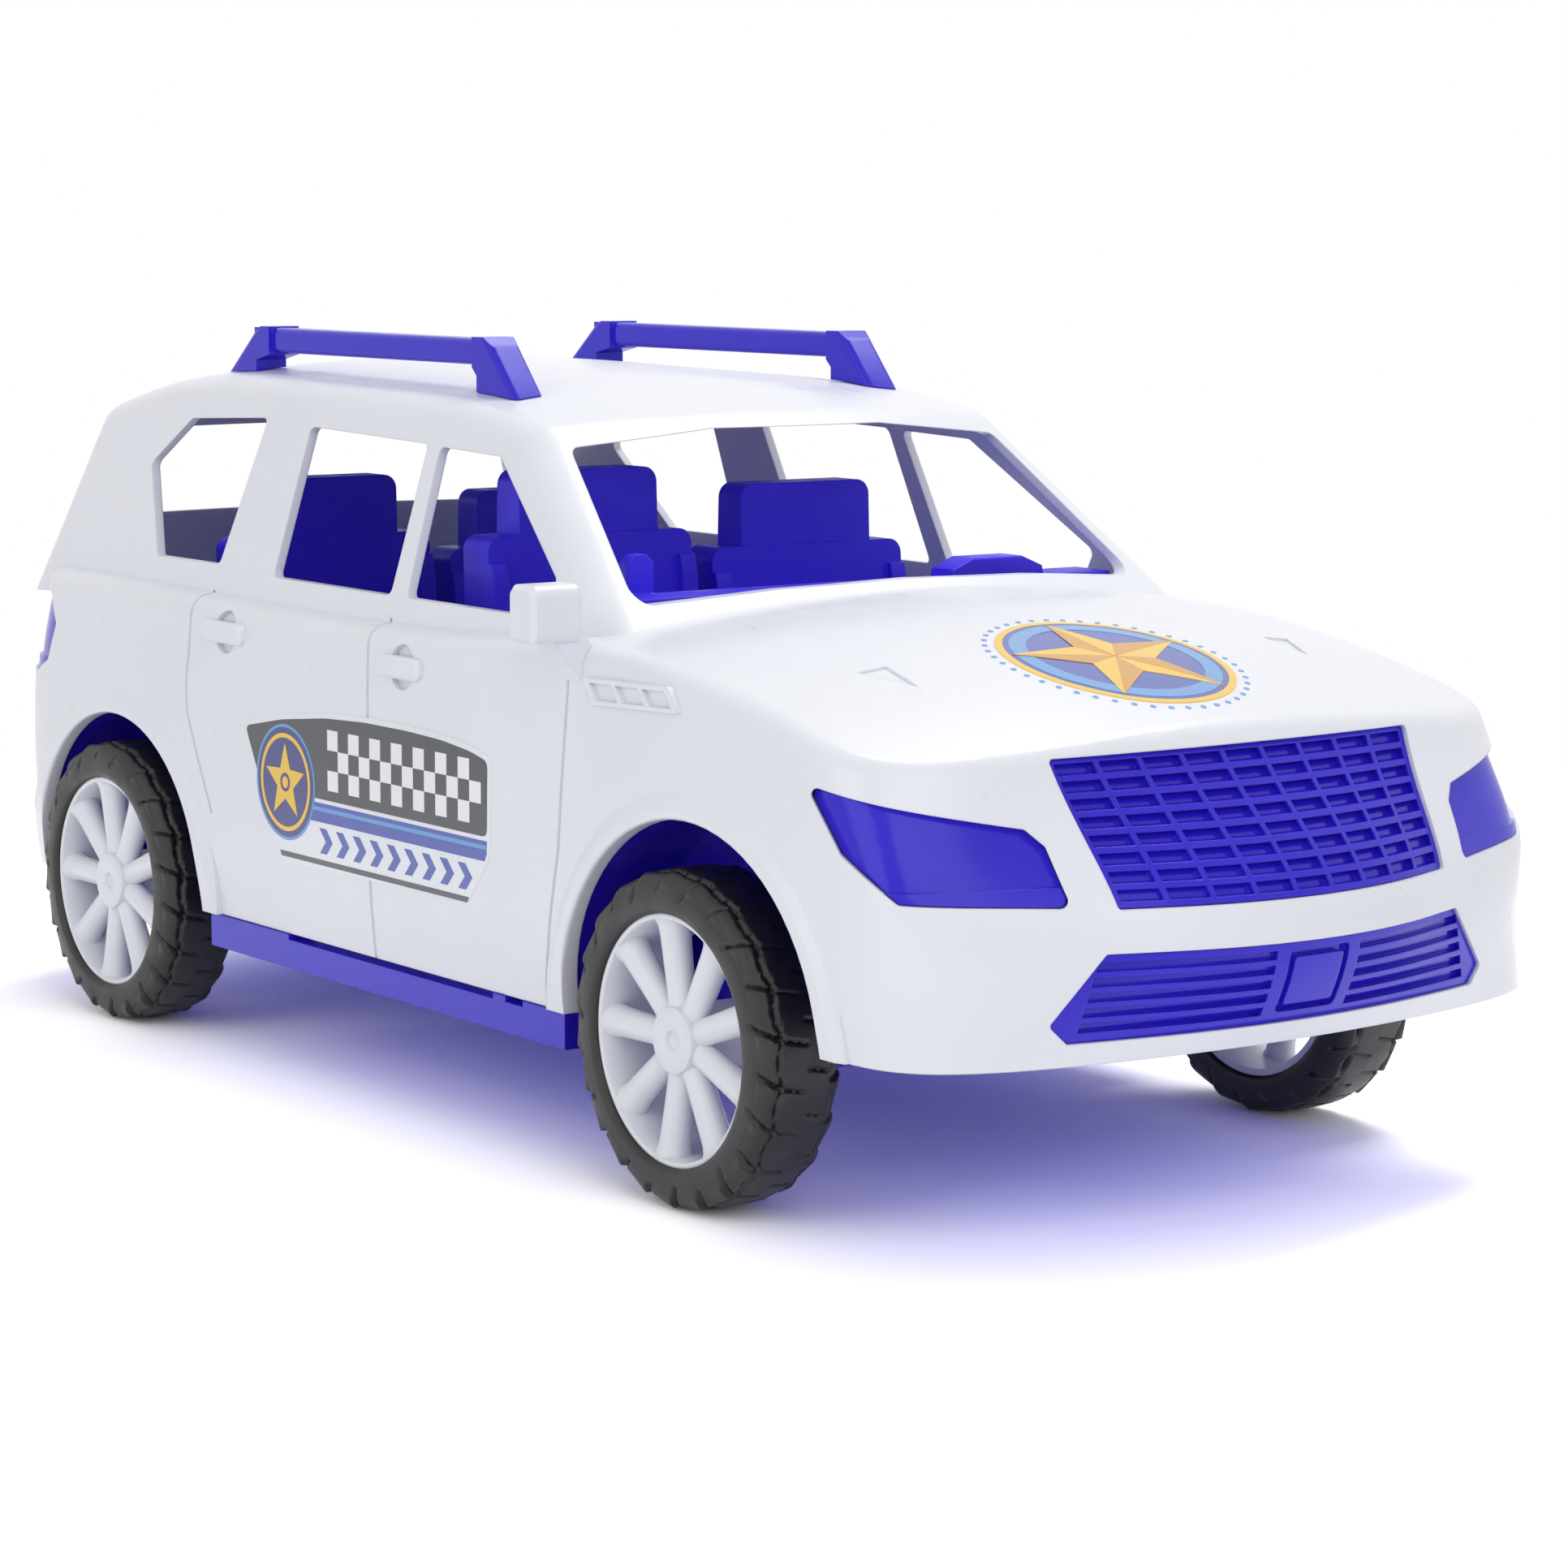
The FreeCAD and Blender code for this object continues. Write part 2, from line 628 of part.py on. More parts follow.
def cells(corners, columns, rows, rib):
    """The pockets of a lattice between four corners, as one compound."""
    low_left, low_right, top_right, top_left = corners
    wide = low_right[0] - low_left[0]
    high = top_left[1] - low_left[1]
    found = []
    for column in range(columns):
        for row in range(rows):
            along = (column / columns, (column + 1) / columns)
            up = (row / rows, (row + 1) / rows)
            half_x = rib / 2 / wide
            half_z = rib / 2 / high
            spots = [between(low_left, low_right, top_left, top_right, u, v) for u, v in (
                (along[0] + half_x, up[0] + half_z), (along[1] - half_x, up[0] + half_z),
                (along[1] - half_x, up[1] - half_z), (along[0] + half_x, up[1] - half_z))]
            points = [Vector(at_front(40), y, z) for y, z in spots]
            found.append(Part.Face(Part.makePolygon(points + points[:1])).extrude(Vector(60, 0, 0)))
    return Part.makeCompound(found)


def pocketed(solid, holes, depth):
    """Takes holes from a plug down to one depth below the body's skin."""
    if depth not in forms:
        forms[depth] = lower_block(depth)
    return solid.cut(holes.cut(forms[depth]))


RIB = 1.0
LATTICE = [(-36.6, 60.2), (36.6, 60.2), (40.4, 82.7), (-40.4, 82.7)]
LOUVRES = [(-45.0, 39.0), (-9.0, 39.0), (-9.0, 51.6), (-41.5, 51.6)]
FRAME = [(-6.8, 39.8), (6.8, 39.8), (6.8, 51.0), (-6.8, 51.0)]
for label, border in (("grille", GRILLE), ("lower_grille", LOWER_GRILLE)):
    plug = end_prism(shrunk(border, float(seat_gap)), 0.7, at_front(40), at_front(100))
    grille = insert(plug, grille_face).fuse(flange(border, 2.0)).Solids[0]
    if label == "grille":
        grille = pocketed(grille, cells(LATTICE, 9, 8, RIB), grille_floor)
    else:
        louvres = cells(LOUVRES, 1, 5, RIB)
        frame = end_prism(FRAME, 1, at_front(40), at_front(100)).cut(
            end_prism(shrunk(FRAME, 1.3), 0.6, at_front(35), at_front(105)))
        for holes in (louvres, mirrored(louvres), frame):
            grille = pocketed(grille, holes, grille_floor)
    keep(label, grille.Solids[0])


def shrunk3(outline, margin):
    """A lamp outline pulled in towards its middle by a margin."""
    middle = Vector(0, 0, 0)
    for point in outline:
        middle += Vector(*point) * (1 / len(outline))
    shifted = []
    for point in outline:
        arm = Vector(*point) - middle
        moved = middle + arm * (1 - margin / arm.Length)
        shifted.append((moved.x, moved.y, moved.z))
    return shifted


lamp_face = float(size("lamp_face", 1.3))
lamp_step = float(size("lamp_step", 0.6))
LAMP_STEP_HEIGHT = {"headlamp": 63.4, "tail_lamp": 75.0}
for label, border, direction in (("headlamp", HEADLAMP, HEADLAMP_WAY),
                                 ("tail_lamp", TAIL_LAMP, TAIL_LAMP_WAY)):
    plug = corner_prism(shrunk3(border, 0.3), LAMP_ROUND, direction, LAMP_NEAR, LAMP_FAR)
    rim = corner_prism(shrunk3(border, -2.0), LAMP_ROUND, direction, LAMP_NEAR, LAMP_FAR)
    low = Part.makeBox(2 * float(length), 2 * reach, LAMP_STEP_HEIGHT[label],
                       Vector(-float(length), -reach, 0))
    lamp = layer(plug, lamp_face, insert_back).fuse(layer(rim, insert_depth, insert_back))
    lamp = lamp.fuse(layer(plug.common(low), lamp_step, lamp_face + 0.5))
    lamp = max(lamp.Solids, key=lambda part: part.Volume)
    keep(label + "_right", lamp)
    keep(label + "_left", mirrored(lamp))


# Drawing helpers for the turned and padded pieces

def new_body(label):
    body = doc.addObject("PartDesign::Body", label)
    body.Label = label
    return body


def new_sketch(body, role, height=None, turn=0):
    """A sketch on one of the body's own planes, raised from it or turned about its upright."""
    sketch = body.newObject("Sketcher::SketchObject", body.Name + "_sketch")
    planes = [item for item in body.Origin.OriginFeatures if item.Role == role]
    sketch.AttachmentSupport = [(planes[0], "")]
    sketch.MapMode = "FlatFace"
    rise = as_length(0) if height is None else height
    sketch.AttachmentOffset = Placement(Vector(0, 0, float(rise)), Rotation(Vector(0, 1, 0), turn))
    if height is not None:
        sketch.setExpression("AttachmentOffset.Base.z", rise.text)
    return sketch


def pin_point(sketch, item, end, across, up):
    """Holds one point of a sketch at two sizes measured from the origin."""
    for kind, distance in (("DistanceX", across), ("DistanceY", up)):
        distance = as_length(distance)
        number = sketch.addConstraint(
            Sketcher.Constraint(kind, -1, 1, item, end, float(distance)))
        sketch.setExpression(f"Constraints[{number}]", distance.text)


def outline(sketch, corners):
    """Straight lines through the corners, closed, each corner held by the sheet's sizes."""
    spots = [Vector(float(across), float(up), 0) for across, up in corners]
    first = sketch.GeometryCount
    count = len(spots)
    for index, spot in enumerate(spots):
        sketch.addGeometry(Part.LineSegment(spot, spots[(index + 1) % count]))
    for index, (across, up) in enumerate(corners):
        following = first + (index + 1) % count
        sketch.addConstraint(Sketcher.Constraint("Coincident", first + index, 2, following, 1))
        pin_point(sketch, first + index, 1, across, up)


def circle(sketch, radius, across=0, up=0):
    """A circle held by the sheet's sizes."""
    item = sketch.addGeometry(Part.Circle(Vector(float(across), float(up), 0), Vector(0, 0, 1),
                                          float(radius)))
    pin_point(sketch, item, 3, across, up)
    number = sketch.addConstraint(Sketcher.Constraint("Radius", item, float(radius)))
    sketch.setExpression(f"Constraints[{number}]", radius.text)


def repeat(body, feature, sketch, count):
    """Copies a feature evenly about the sketch's upright axis."""
    pattern = body.newObject("PartDesign::PolarPattern", feature.Name + "_turns")
    pattern.Originals = [feature]
    pattern.Axis = (sketch, ["V_Axis"])
    pattern.Angle = 360
    pattern.Occurrences = int(float(count))
    pattern.setExpression("Occurrences", count.text)
    body.Tip = pattern
    return pattern


def soften(body, radius, wanted):
    """Rounds the edges of a body that answer to a test on their middle point and length."""
    doc.recompute()
    sharp = body.Tip
    edges = [f"Edge{number}" for number, edge in enumerate(sharp.Shape.Edges, 1)
             if wanted(edge.CenterOfMass, edge.Length)]
    feature = body.newObject("PartDesign::Fillet", body.Name + "_soft")
    feature.Base = (sharp, edges)
    feature.Radius = float(radius)
    feature.setExpression("Radius", radius.text)
    body.Tip = feature


def pad(body, sketch, depth, middle=True):
    feature = body.newObject("PartDesign::Pad", body.Name + "_pad")
    feature.Profile = sketch
    feature.Length = float(depth)
    feature.setExpression("Length", depth.text)
    feature.Midplane = middle
    return feature


def revolve(body, sketch):
    """A full turn about the sketch's upright axis."""
    feature = body.newObject("PartDesign::Revolution", body.Name + "_turn")
    feature.Profile = sketch
    feature.ReferenceAxis = (sketch, ["V_Axis"])
    feature.Angle = 360
    return feature


def place(node, x=None, y=None, z=None, rotation=None):
    """Puts a sub-part at sizes of the sheet."""
    spot = [as_length(0) if item is None else as_length(item) for item in (x, y, z)]
    node.Placement = Placement(Vector(*[float(item) for item in spot]), rotation or Rotation())
    for axis, item in zip("xyz", spot):
        node.setExpression(f"Placement.Base.{axis}", item.text)


# Wheels, each drawn about its own axle with its face outward along the sketch's upright axis

rim_face = tyre_face - rim_inset
rim_back = rim_face - rim_depth
tyre_back = tyre_face - tyre_width
hub_face = rim_face - 0.4
spoke_middle = rim_face - 0.8 - spoke_radius
hub_back = rim_back + 1
axle_end = rim_face - 2.4
barrel_radius = rim_radius - rim_wall
AXLES = {"front": front_axle, "rear": rear_axle}
SIDES = {"left": -90, "right": 90}


def make_rim(label):
    """A hub that the axle is pressed into, round spokes and a deep barrel."""
    body = new_body(label)
    section = new_sketch(body, "XZ_Plane")
    bore = axle_radius + press_gap
    outline(section, [(0, axle_end + 0.2), (bore, axle_end + 0.2), (bore, hub_back),
                      (hub_radius, hub_back), (hub_radius, hub_face - 0.6),
                      (hub_radius - 0.6, hub_face), (hub_recess, hub_face),
                      (hub_recess, hub_face - 0.8), (0, hub_face - 0.8)])
    revolve(body, section)
    spoke = new_sketch(body, "YZ_Plane", hub_radius - 1.5)
    circle(spoke, spoke_radius, 0, spoke_middle)
    spoke_pad = pad(body, spoke, barrel_radius - hub_radius + 2, False)
    repeat(body, spoke_pad, section, spoke_count)
    barrel = new_sketch(body, "XZ_Plane")
    outline(barrel, [(barrel_radius, rim_back), (rim_radius, rim_back), (rim_radius, rim_face),
                     (barrel_radius + 0.5, rim_face), (barrel_radius, rim_face - 0.5)])
    body.Tip = revolve(body, barrel)
    return body


tread_top = wheel_radius - block_sag


def make_tyre(label):
    """A many-sided core with two shoulder rows of leaning lugs and a middle row of flat blocks."""
    body = new_body(label)
    core = new_sketch(body, "XY_Plane", tyre_back)
    sides = int(float(lug_count))
    corners = [2 * math.pi * (index + 0.5) / sides for index in range(sides)]
    outline(core, [(tyre_core * math.cos(turn), tyre_core * math.sin(turn)) for turn in corners])
    circle(core, rim_radius + press_gap)
    pad(body, core, tyre_width - sidewall_step, False)
    half_step = math.tan(math.pi / sides)
    low_half = lug_foot * half_step - lug_slot / 2
    high_half = tread_top * half_step - lug_slot / 2
    for start, foot, foot_half in ((tyre_face - shoulder_row, lug_foot, low_half),
                                   (tyre_back, tyre_core - 1, low_half + half_step * 2.4)):
        sketch = new_sketch(body, "XY_Plane", start)
        outline(sketch, [(foot, -foot_half), (tread_top, lug_lean - high_half),
                         (tread_top, lug_lean + high_half), (foot, foot_half)])
        row = pad(body, sketch, shoulder_row, False)
        pattern = repeat(body, row, sketch, lug_count)
        pattern.Axis = (sketch, ["N_Axis"])
    tread_end = tyre_face - shoulder_row - tread_groove
    tread_start = tyre_back + shoulder_row + tread_groove
    tread = new_sketch(body, "XZ_Plane", None, 90 / float(lug_count))
    foot = tyre_core - 1
    outline(tread, [(foot, tread_start), (tread_top, tread_start), (tread_top, tread_end),
                    (foot, tread_end)])
    repeat(body, pad(body, tread, tread_block), tread, lug_count)
    edge = new_sketch(body, "XZ_Plane")
    outline(edge, [(tread_top - shoulder_cut, tyre_face + 0.2), (wheel_radius + 2, tyre_face + 0.2),
                   (wheel_radius + 2, tyre_face - shoulder_cut - 2.5)])
    groove = body.newObject("PartDesign::Groove", label + "_edge")
    groove.Profile = edge
    groove.ReferenceAxis = (edge, ["V_Axis"])
    groove.Angle = 360
    body.Tip = groove
    return body


def copy_of(label, original):
    """A second body that stays bound to the first one's shape."""
    body = new_body(label)
    feature = body.newObject("PartDesign::FeatureBase", label + "_copy")
    feature.BaseFeature = original
    body.Tip = feature
    return body


firsts = {}
for end, axle_x in AXLES.items():
    axle = doc.addObject("Part::Cylinder", "axle_" + end)
    axle.Label = "axle_" + end
    axle.setExpression("Radius", axle_radius.text)
    axle.setExpression("Height", (axle_end * 2).text)
    place(axle, axle_x, -axle_end, axle_height, Rotation(Vector(1, 0, 0), -90))
    made.append(axle)
    for side, turn in SIDES.items():
        for kind, maker in (("rim", make_rim), ("tyre", make_tyre)):
            label = f"{kind}_{end}_{side}"
            wheel_piece = copy_of(label, firsts[kind]) if kind in firsts else maker(label)
            firsts.setdefault(kind, wheel_piece)
            place(wheel_piece, axle_x, 0, axle_height, Rotation(Vector(1, 0, 0), turn))
            made.append(wheel_piece)

# Chassis

floor_low = size("floor_low", 23)
floor_thick = size("floor_thick", 2.5)
floor_top = floor_low + floor_thick
floor_gap = size("floor_gap", 0.4)
well_wall = size("well_wall", 1.5)
well_gap = size("well_gap", 0.8)
well_inner = size("well_inner", 53)
sill_low = size("sill_low", 22)
sill_top = sill_edge - seat_gap
sill_face = size("sill_face", 73.6)
sill_wide = size("sill_wide", 9)
slot_high = size("slot_high", 1.1)
slot_deep = size("slot_deep", 3)
nose_floor = size("nose_floor", 34.1)
nose_thick = size("nose_thick", 1.5)
SILL_SLOTS = [(-136.9, -60.7), (-56.5, -50.5)]


def box(label, x, y, z, dx, dy, dz):
    solid = doc.addObject("Part::Box", label)
    for name, item in (("Length", dx), ("Width", dy), ("Height", dz)):
        solid.setExpression(name, as_length(item).text)
    place(solid, x, y, z)
    return solid


def cylinder_across(label, radius, x, y, z, wide_y):
    solid = doc.addObject("Part::Cylinder", label)
    solid.setExpression("Radius", as_length(radius).text)
    solid.setExpression("Height", as_length(wide_y).text)
    place(solid, x, y, z, Rotation(Vector(1, 0, 0), -90))
    return solid


def joined(label, solids):
    fuse = doc.addObject("Part::MultiFuse", label)
    fuse.Shapes = solids
    return fuse


def minus(label, base, tool):
    cut = doc.addObject("Part::Cut", label)
    cut.Base = base
    cut.Tool = tool
    return cut


well_end = body_half_width - wall - floor_gap
floor_half = well_end - 2
floor_front = front_axle + 8
floor_rear = rear_axle - 70
floor = box("floor_plate", floor_rear, -floor_half, floor_low,
            floor_front - floor_rear, floor_half * 2, floor_thick)
nose_plate = box("nose_plate", floor_front - floor_thick, -floor_half, nose_floor,
                 front_overhang, floor_half * 2, nose_thick)
riser = box("riser", floor_front - floor_thick, -well_inner, floor_low, floor_thick, well_inner * 2,
            nose_floor - floor_low + nose_thick)
solids = [floor, nose_plate, riser]
hollows = []
for end, axle_x in AXLES.items():
    well_x, arch = ARCHES[end]
    well_radius = arch + well_gap
    for side, y_start in (("left", well_inner), ("right", -well_end)):
        solids.append(cylinder_across(f"well_{end}_{side}", well_radius + well_wall,
                                      well_x, y_start, axle_height, well_end - well_inner))
        inner_start = well_inner + well_wall if side == "left" else -well_end - 1
        hollows.append(cylinder_across(f"hollow_{end}_{side}", well_radius,
                                       well_x, inner_start, axle_height,
                                       well_end - well_inner - well_wall + 1))
    solids.append(box(f"axle_block_{end}", axle_x - 5, -well_inner - 0.5, floor_low,
                      10, well_inner * 2 + 1, axle_height - floor_low + 5))
    hollows.append(cylinder_across(f"bearing_{end}", axle_radius + running_gap, axle_x,
                                   -well_inner - 5, axle_height, well_inner * 2 + 10))
sill_back = rear_axle + arch_lead + rear_arch + 1.5
sill_front = front_axle + arch_lead - front_arch - 1.5
sills = []
for side, y_start in (("left", sill_face - sill_wide), ("right", -sill_face)):
    bar = box(f"sill_bar_{side}", sill_back, y_start, sill_low, sill_front - sill_back,
              sill_wide, sill_top - sill_low)
    slot_start = sill_face - slot_deep if side == "left" else -sill_face - slot_deep
    slots = [box(f"sill_slot_{side}_{number}", front_axle + start, slot_start, sill_top - slot_high,
                 as_length(stop - start), slot_deep * 2, slot_high * 2)
             for number, (start, stop) in enumerate(SILL_SLOTS)]
    sills.append(minus(f"sill_{side}", bar, joined(f"sill_slots_{side}", slots)))
hollows.append(box("under_wells", floor_rear - 50, -reach, -20,
                   floor_front - floor_rear + 100, 2 * reach, sill_low + 20))
for end, (well_x, arch) in ARCHES.items():
    well_radius = arch + well_gap
    for side, y_start in (("left", well_inner + well_wall), ("right", -well_end - 20)):
        hollows.append(box(f"well_mouth_{end}_{side}", well_x - well_radius, y_start, -10,
                           well_radius * 2, well_end - well_inner - well_wall + 20,
                           axle_height + 10))
    for side, y_start in (("left", well_inner - 0.5), ("right", -well_end - 1)):
        hollows.append(box(f"well_foot_{end}_{side}", well_x - well_radius - 20, y_start, -10,
                           well_radius * 2 + 40, well_end - well_inner + 1.5,
                           floor_low + 10))
hollows.append(box("under_nose", floor_front, -reach, -10, 100, 2 * reach, nose_floor + 10))
blank = joined("chassis_blank", solids)
hollow = joined("chassis_hollows", hollows)
inside = doc.addObject("Part::Feature", "inside_of_shell")
inside.Shape = lower_block(float(wall) + float(floor_gap))
trimmed = doc.addObject("Part::Common", "chassis_trimmed")
trimmed.Base = minus("chassis_open", blank, hollow)
trimmed.Tool = inside
chassis = joined("chassis", [trimmed] + sills)
chassis.Label = "chassis"
made.append(chassis)

# Seats

seat_width = size("seat_width", 48)
seat_inner = size("seat_inner", 2.6)
seat_shoulder = size("seat_shoulder", 105.5)
seat_head = size("seat_head", 118)
seat_cushion = size("seat_cushion", 60)
head_width = size("head_width", 32.5)
right_rise = size("right_rise", 4.4)
rear_drop = size("rear_drop", 7)
seat_length = size("seat_length", 44)
seat_back = size("seat_back", 10)
bolster_width = size("bolster_width", 3.6)
bolster_depth = size("bolster_depth", 2.4)
seat_round = size("seat_round", 3)
front_row = front_axle - 108
rear_row = front_axle - 208


def make_seat(label, row_x, side, shoulder, head):
    """A cushion and a back with square shoulders and a block for the head."""
    body = new_body(label)
    profile = new_sketch(body, "XZ_Plane")
    outline(profile, [(4, floor_top), (1, shoulder), (seat_back, shoulder),
                      (seat_back + 3, seat_cushion - 1), (seat_length - 2, seat_cushion),
                      (seat_length, seat_cushion - 4), (seat_length - 4, floor_top)])
    pad(body, profile, seat_width)
    head_profile = new_sketch(body, "XZ_Plane")
    outline(head_profile, [(1, shoulder - 2), (1.4, head), (seat_back - 1, head),
                           (seat_back - 0.4, shoulder - 2)])
    pad(body, head_profile, head_width)
    bolster_foot = seat_cushion - 2
    for start in (-seat_width / 2, seat_width / 2 - bolster_width):
        bolster = new_sketch(body, "XZ_Plane", start)
        outline(bolster, [(2, bolster_foot), (2, shoulder - 5),
                          (seat_back + bolster_depth - 1, shoulder - 5),
                          (seat_back + bolster_depth, shoulder - 9),
                          (seat_back + bolster_depth + 3, bolster_foot)])
        body.Tip = pad(body, bolster, bolster_width, False)
    half = float(seat_width) / 2
    half_head = float(head_width) / 2
    soften(body, seat_round, lambda spot, long: long > 5 and (
        abs(abs(spot.y) - half) < 0.1 and abs(spot.z - float(shoulder)) < 0.1
        or abs(abs(spot.y) - half_head) < 0.1 and abs(spot.z - float(head)) < 0.1))
    middle = seat_inner + seat_width / 2
    place(body, row_x, middle * side, 0)
    made.append(body)


for label, row_x, side, drop, rise in (("seat_front_left", front_row, 1, 0, 0),
                                       ("seat_front_right", front_row, -1, 0, right_rise),
                                       ("seat_rear_left", rear_row, 1, rear_drop, 0),
                                       ("seat_rear_right", rear_row, -1, rear_drop, right_rise)):
    make_seat(label, row_x, side, seat_shoulder - drop + rise, seat_head - drop + rise)

# Dashboard and steering wheel

dash_top = size("dash_top", 102.6)
dash_foot = size("dash_foot", 74.5)
dash_depth = size("dash_depth", 12)
dash_half = size("dash_half", 58)
console_half = size("console_half", 50)
binnacle_top = size("binnacle_top", 106.6)
binnacle_y = size("binnacle_y", 29)
tab_top = size("tab_top", 110)
tab_middle = size("tab_middle", 48.6)
tab_width = size("tab_width", 5.8)
driver_y = seat_inner + seat_width / 2
dash_x = front_axle - 52
dash = new_body("dashboard")
dash_section = new_sketch(dash, "XZ_Plane")
outline(dash_section, [(0, dash_foot), (0, dash_top - 3), (1.5, dash_top), (dash_depth, dash_top),
                       (dash_depth + 3, dash_top - 9), (dash_depth + 3, dash_foot)])
pad(dash, dash_section, dash_half * 2)
console = new_sketch(dash, "XZ_Plane")
outline(console, [(3, floor_top), (3, dash_foot + 1), (dash_depth + 1, dash_foot + 1),
                  (dash_depth + 1, floor_top)])
pad(dash, console, console_half * 2)
hood = new_sketch(dash, "YZ_Plane", as_length(5.5))
outline(hood, [(binnacle_y - 12, dash_top - 2), (binnacle_y - 11, dash_top + 2),
               (binnacle_y - 6, binnacle_top), (binnacle_y + 6, binnacle_top),
               (binnacle_y + 11, dash_top + 2), (binnacle_y + 12, dash_top - 2)])
pad(dash, hood, as_length(7), False)
tab = new_sketch(dash, "YZ_Plane", as_length(0.5))
tab_left = -tab_middle + tab_width / 2
tab_right = -tab_middle - tab_width / 2
outline(tab, [(tab_right, dash_top - 3), (tab_right, tab_top - 1.5), (tab_right + 1.5, tab_top),
              (tab_left - 1.5, tab_top), (tab_left, tab_top - 1.5), (tab_left, dash_top - 3)])
dash.Tip = pad(dash, tab, as_length(3), False)
place(dash, dash_x, 0, 0)
made.append(dash)

wheel_tilt = 25
steering_radius = size("steering_radius", 12)
steering_tube = size("steering_tube", 1.6)
steering = new_body("steering_wheel")
ring = new_sketch(steering, "XZ_Plane")
ring_turns = [math.pi * (index + 0.5) / 4 for index in range(8)]
outline(ring, [(steering_radius + steering_tube * math.cos(turn), steering_tube * math.sin(turn))
               for turn in ring_turns])
revolve(steering, ring)
spoke = new_sketch(steering, "YZ_Plane")
outline(spoke, [(-steering_radius, -1), (steering_radius, -1), (steering_radius, 1),
                (-steering_radius, 1)])
pad(steering, spoke, as_length(3))
hub = new_sketch(steering, "XZ_Plane")
outline(hub, [(0, -1.5), (4, -1.5), (4, 1), (2, 1.5), (2, 9), (0, 9)])
steering.Tip = revolve(steering, hub)
place(steering, dash_x - 8.6, driver_y, dash_top - 15, Rotation(Vector(0, 1, 0), 90 - wheel_tilt))
made.append(steering)

# Roof rails

rail_bar_width = size("rail_bar_width", 5.6)
rail_leg_width = size("rail_leg_width", 7.2)
rail_y = size("rail_y", 43.2)
rail_top = size("rail_top", 147.9)
rail_bar = size("rail_bar", 5.2)
rail_round = size("rail_round", 1.3)
under_bar = rail_top - rail_bar
roof_tool = doc.addObject("Part::Feature", "roof_surface")
roof_tool.Shape = upper_form(-0.1)
for side, turn in (("left", 1), ("right", -1)):
    rail = new_body("rail_blank_" + side)
    bar_profile = new_sketch(rail, "XZ_Plane")
    outline(bar_profile, [(front_axle - 197, under_bar), (front_axle - 197, rail_top),
                          (front_axle - 106, rail_top), (front_axle - 106, under_bar)])
    pad(rail, bar_profile, rail_bar_width)
    front_leg = new_sketch(rail, "XZ_Plane")
    outline(front_leg, [(front_axle - 93, roof_top - 8), (front_axle - 93, rail_top - 12.4),
                        (front_axle - 102.6, rail_top - 1.7), (front_axle - 105.5, rail_top + 0.3),
                        (front_axle - 109.5, rail_top + 0.3), (front_axle - 109.5, under_bar - 0.4),
                        (front_axle - 107.8, under_bar - 2), (front_axle - 107.8, roof_top - 7)])
    pad(rail, front_leg, rail_leg_width)
    rear_leg = new_sketch(rail, "XZ_Plane")
    outline(rear_leg, [(front_axle - 209.7, roof_top - 6), (front_axle - 209.7, rail_top - 11.4),
                       (front_axle - 197.5, rail_top - 1.7), (front_axle - 193, rail_top + 0.3),
                       (front_axle - 189.5, rail_top + 0.3), (front_axle - 189.5, under_bar - 0.4),
                       (front_axle - 195, under_bar - 1.6), (front_axle - 195, roof_top - 6)])
    rail.Tip = pad(rail, rear_leg, rail_leg_width)
    ridge = float(under_bar)
    soften(rail, rail_round, lambda spot, long: abs(spot.y) > 0.1 and long > 9
           and spot.z > ridge - 4)
    place(rail, 0, rail_y * turn, 0)
    seated = minus("roof_rail_" + side, rail, roof_tool)
    seated.Label = "roof_rail_" + side
    made.append(seated)

doc.recompute()

for item in doc.Objects:
    if "Invalid" in item.State or "Error" in item.State:
        raise RuntimeError(f"{item.Label} did not rebuild: {item.State}")
os.makedirs("parts", exist_ok=True)
for node in made:
    shape = node.Shape
    if shape.isNull() or not shape.isValid():
        raise RuntimeError(f"{node.Label} has no valid shape")
    print(node.Label, len(shape.Solids), round(shape.Volume), shape.BoundBox)
    shape.exportStep(f"parts/{node.Label}.step")
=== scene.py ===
import json
import math

import bmesh
import bpy
from mathutils import Matrix, Vector
from mathutils.bvhtree import BVHTree
from mathutils.geometry import delaunay_2d_cdt


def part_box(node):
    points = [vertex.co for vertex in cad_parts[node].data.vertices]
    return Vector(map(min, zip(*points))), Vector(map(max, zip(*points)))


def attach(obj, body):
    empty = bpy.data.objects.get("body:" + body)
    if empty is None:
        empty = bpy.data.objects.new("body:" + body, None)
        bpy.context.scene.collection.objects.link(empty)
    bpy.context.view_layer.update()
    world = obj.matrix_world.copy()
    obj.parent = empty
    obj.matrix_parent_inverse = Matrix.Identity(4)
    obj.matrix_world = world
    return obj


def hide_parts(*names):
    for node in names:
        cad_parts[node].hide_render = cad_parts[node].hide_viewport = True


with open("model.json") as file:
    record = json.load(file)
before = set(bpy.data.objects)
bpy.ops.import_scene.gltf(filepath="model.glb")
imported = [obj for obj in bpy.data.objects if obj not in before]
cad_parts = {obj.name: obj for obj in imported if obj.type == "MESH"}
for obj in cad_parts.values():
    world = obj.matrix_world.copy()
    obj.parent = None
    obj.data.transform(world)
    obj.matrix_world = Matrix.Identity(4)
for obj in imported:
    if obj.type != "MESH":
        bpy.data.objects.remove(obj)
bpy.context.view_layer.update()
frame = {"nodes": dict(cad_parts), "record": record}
nodes = frame["nodes"]

MM = 0.001


# Colours and node helpers

def linear(red, green, blue):
    """A screen colour of 0 to 255 as the linear colour that the shader wants."""
    def channel(value):
        value /= 255
        return value / 12.92 if value <= 0.04045 else ((value + 0.055) / 1.055) ** 2.4
    return channel(red), channel(green), channel(blue), 1.0


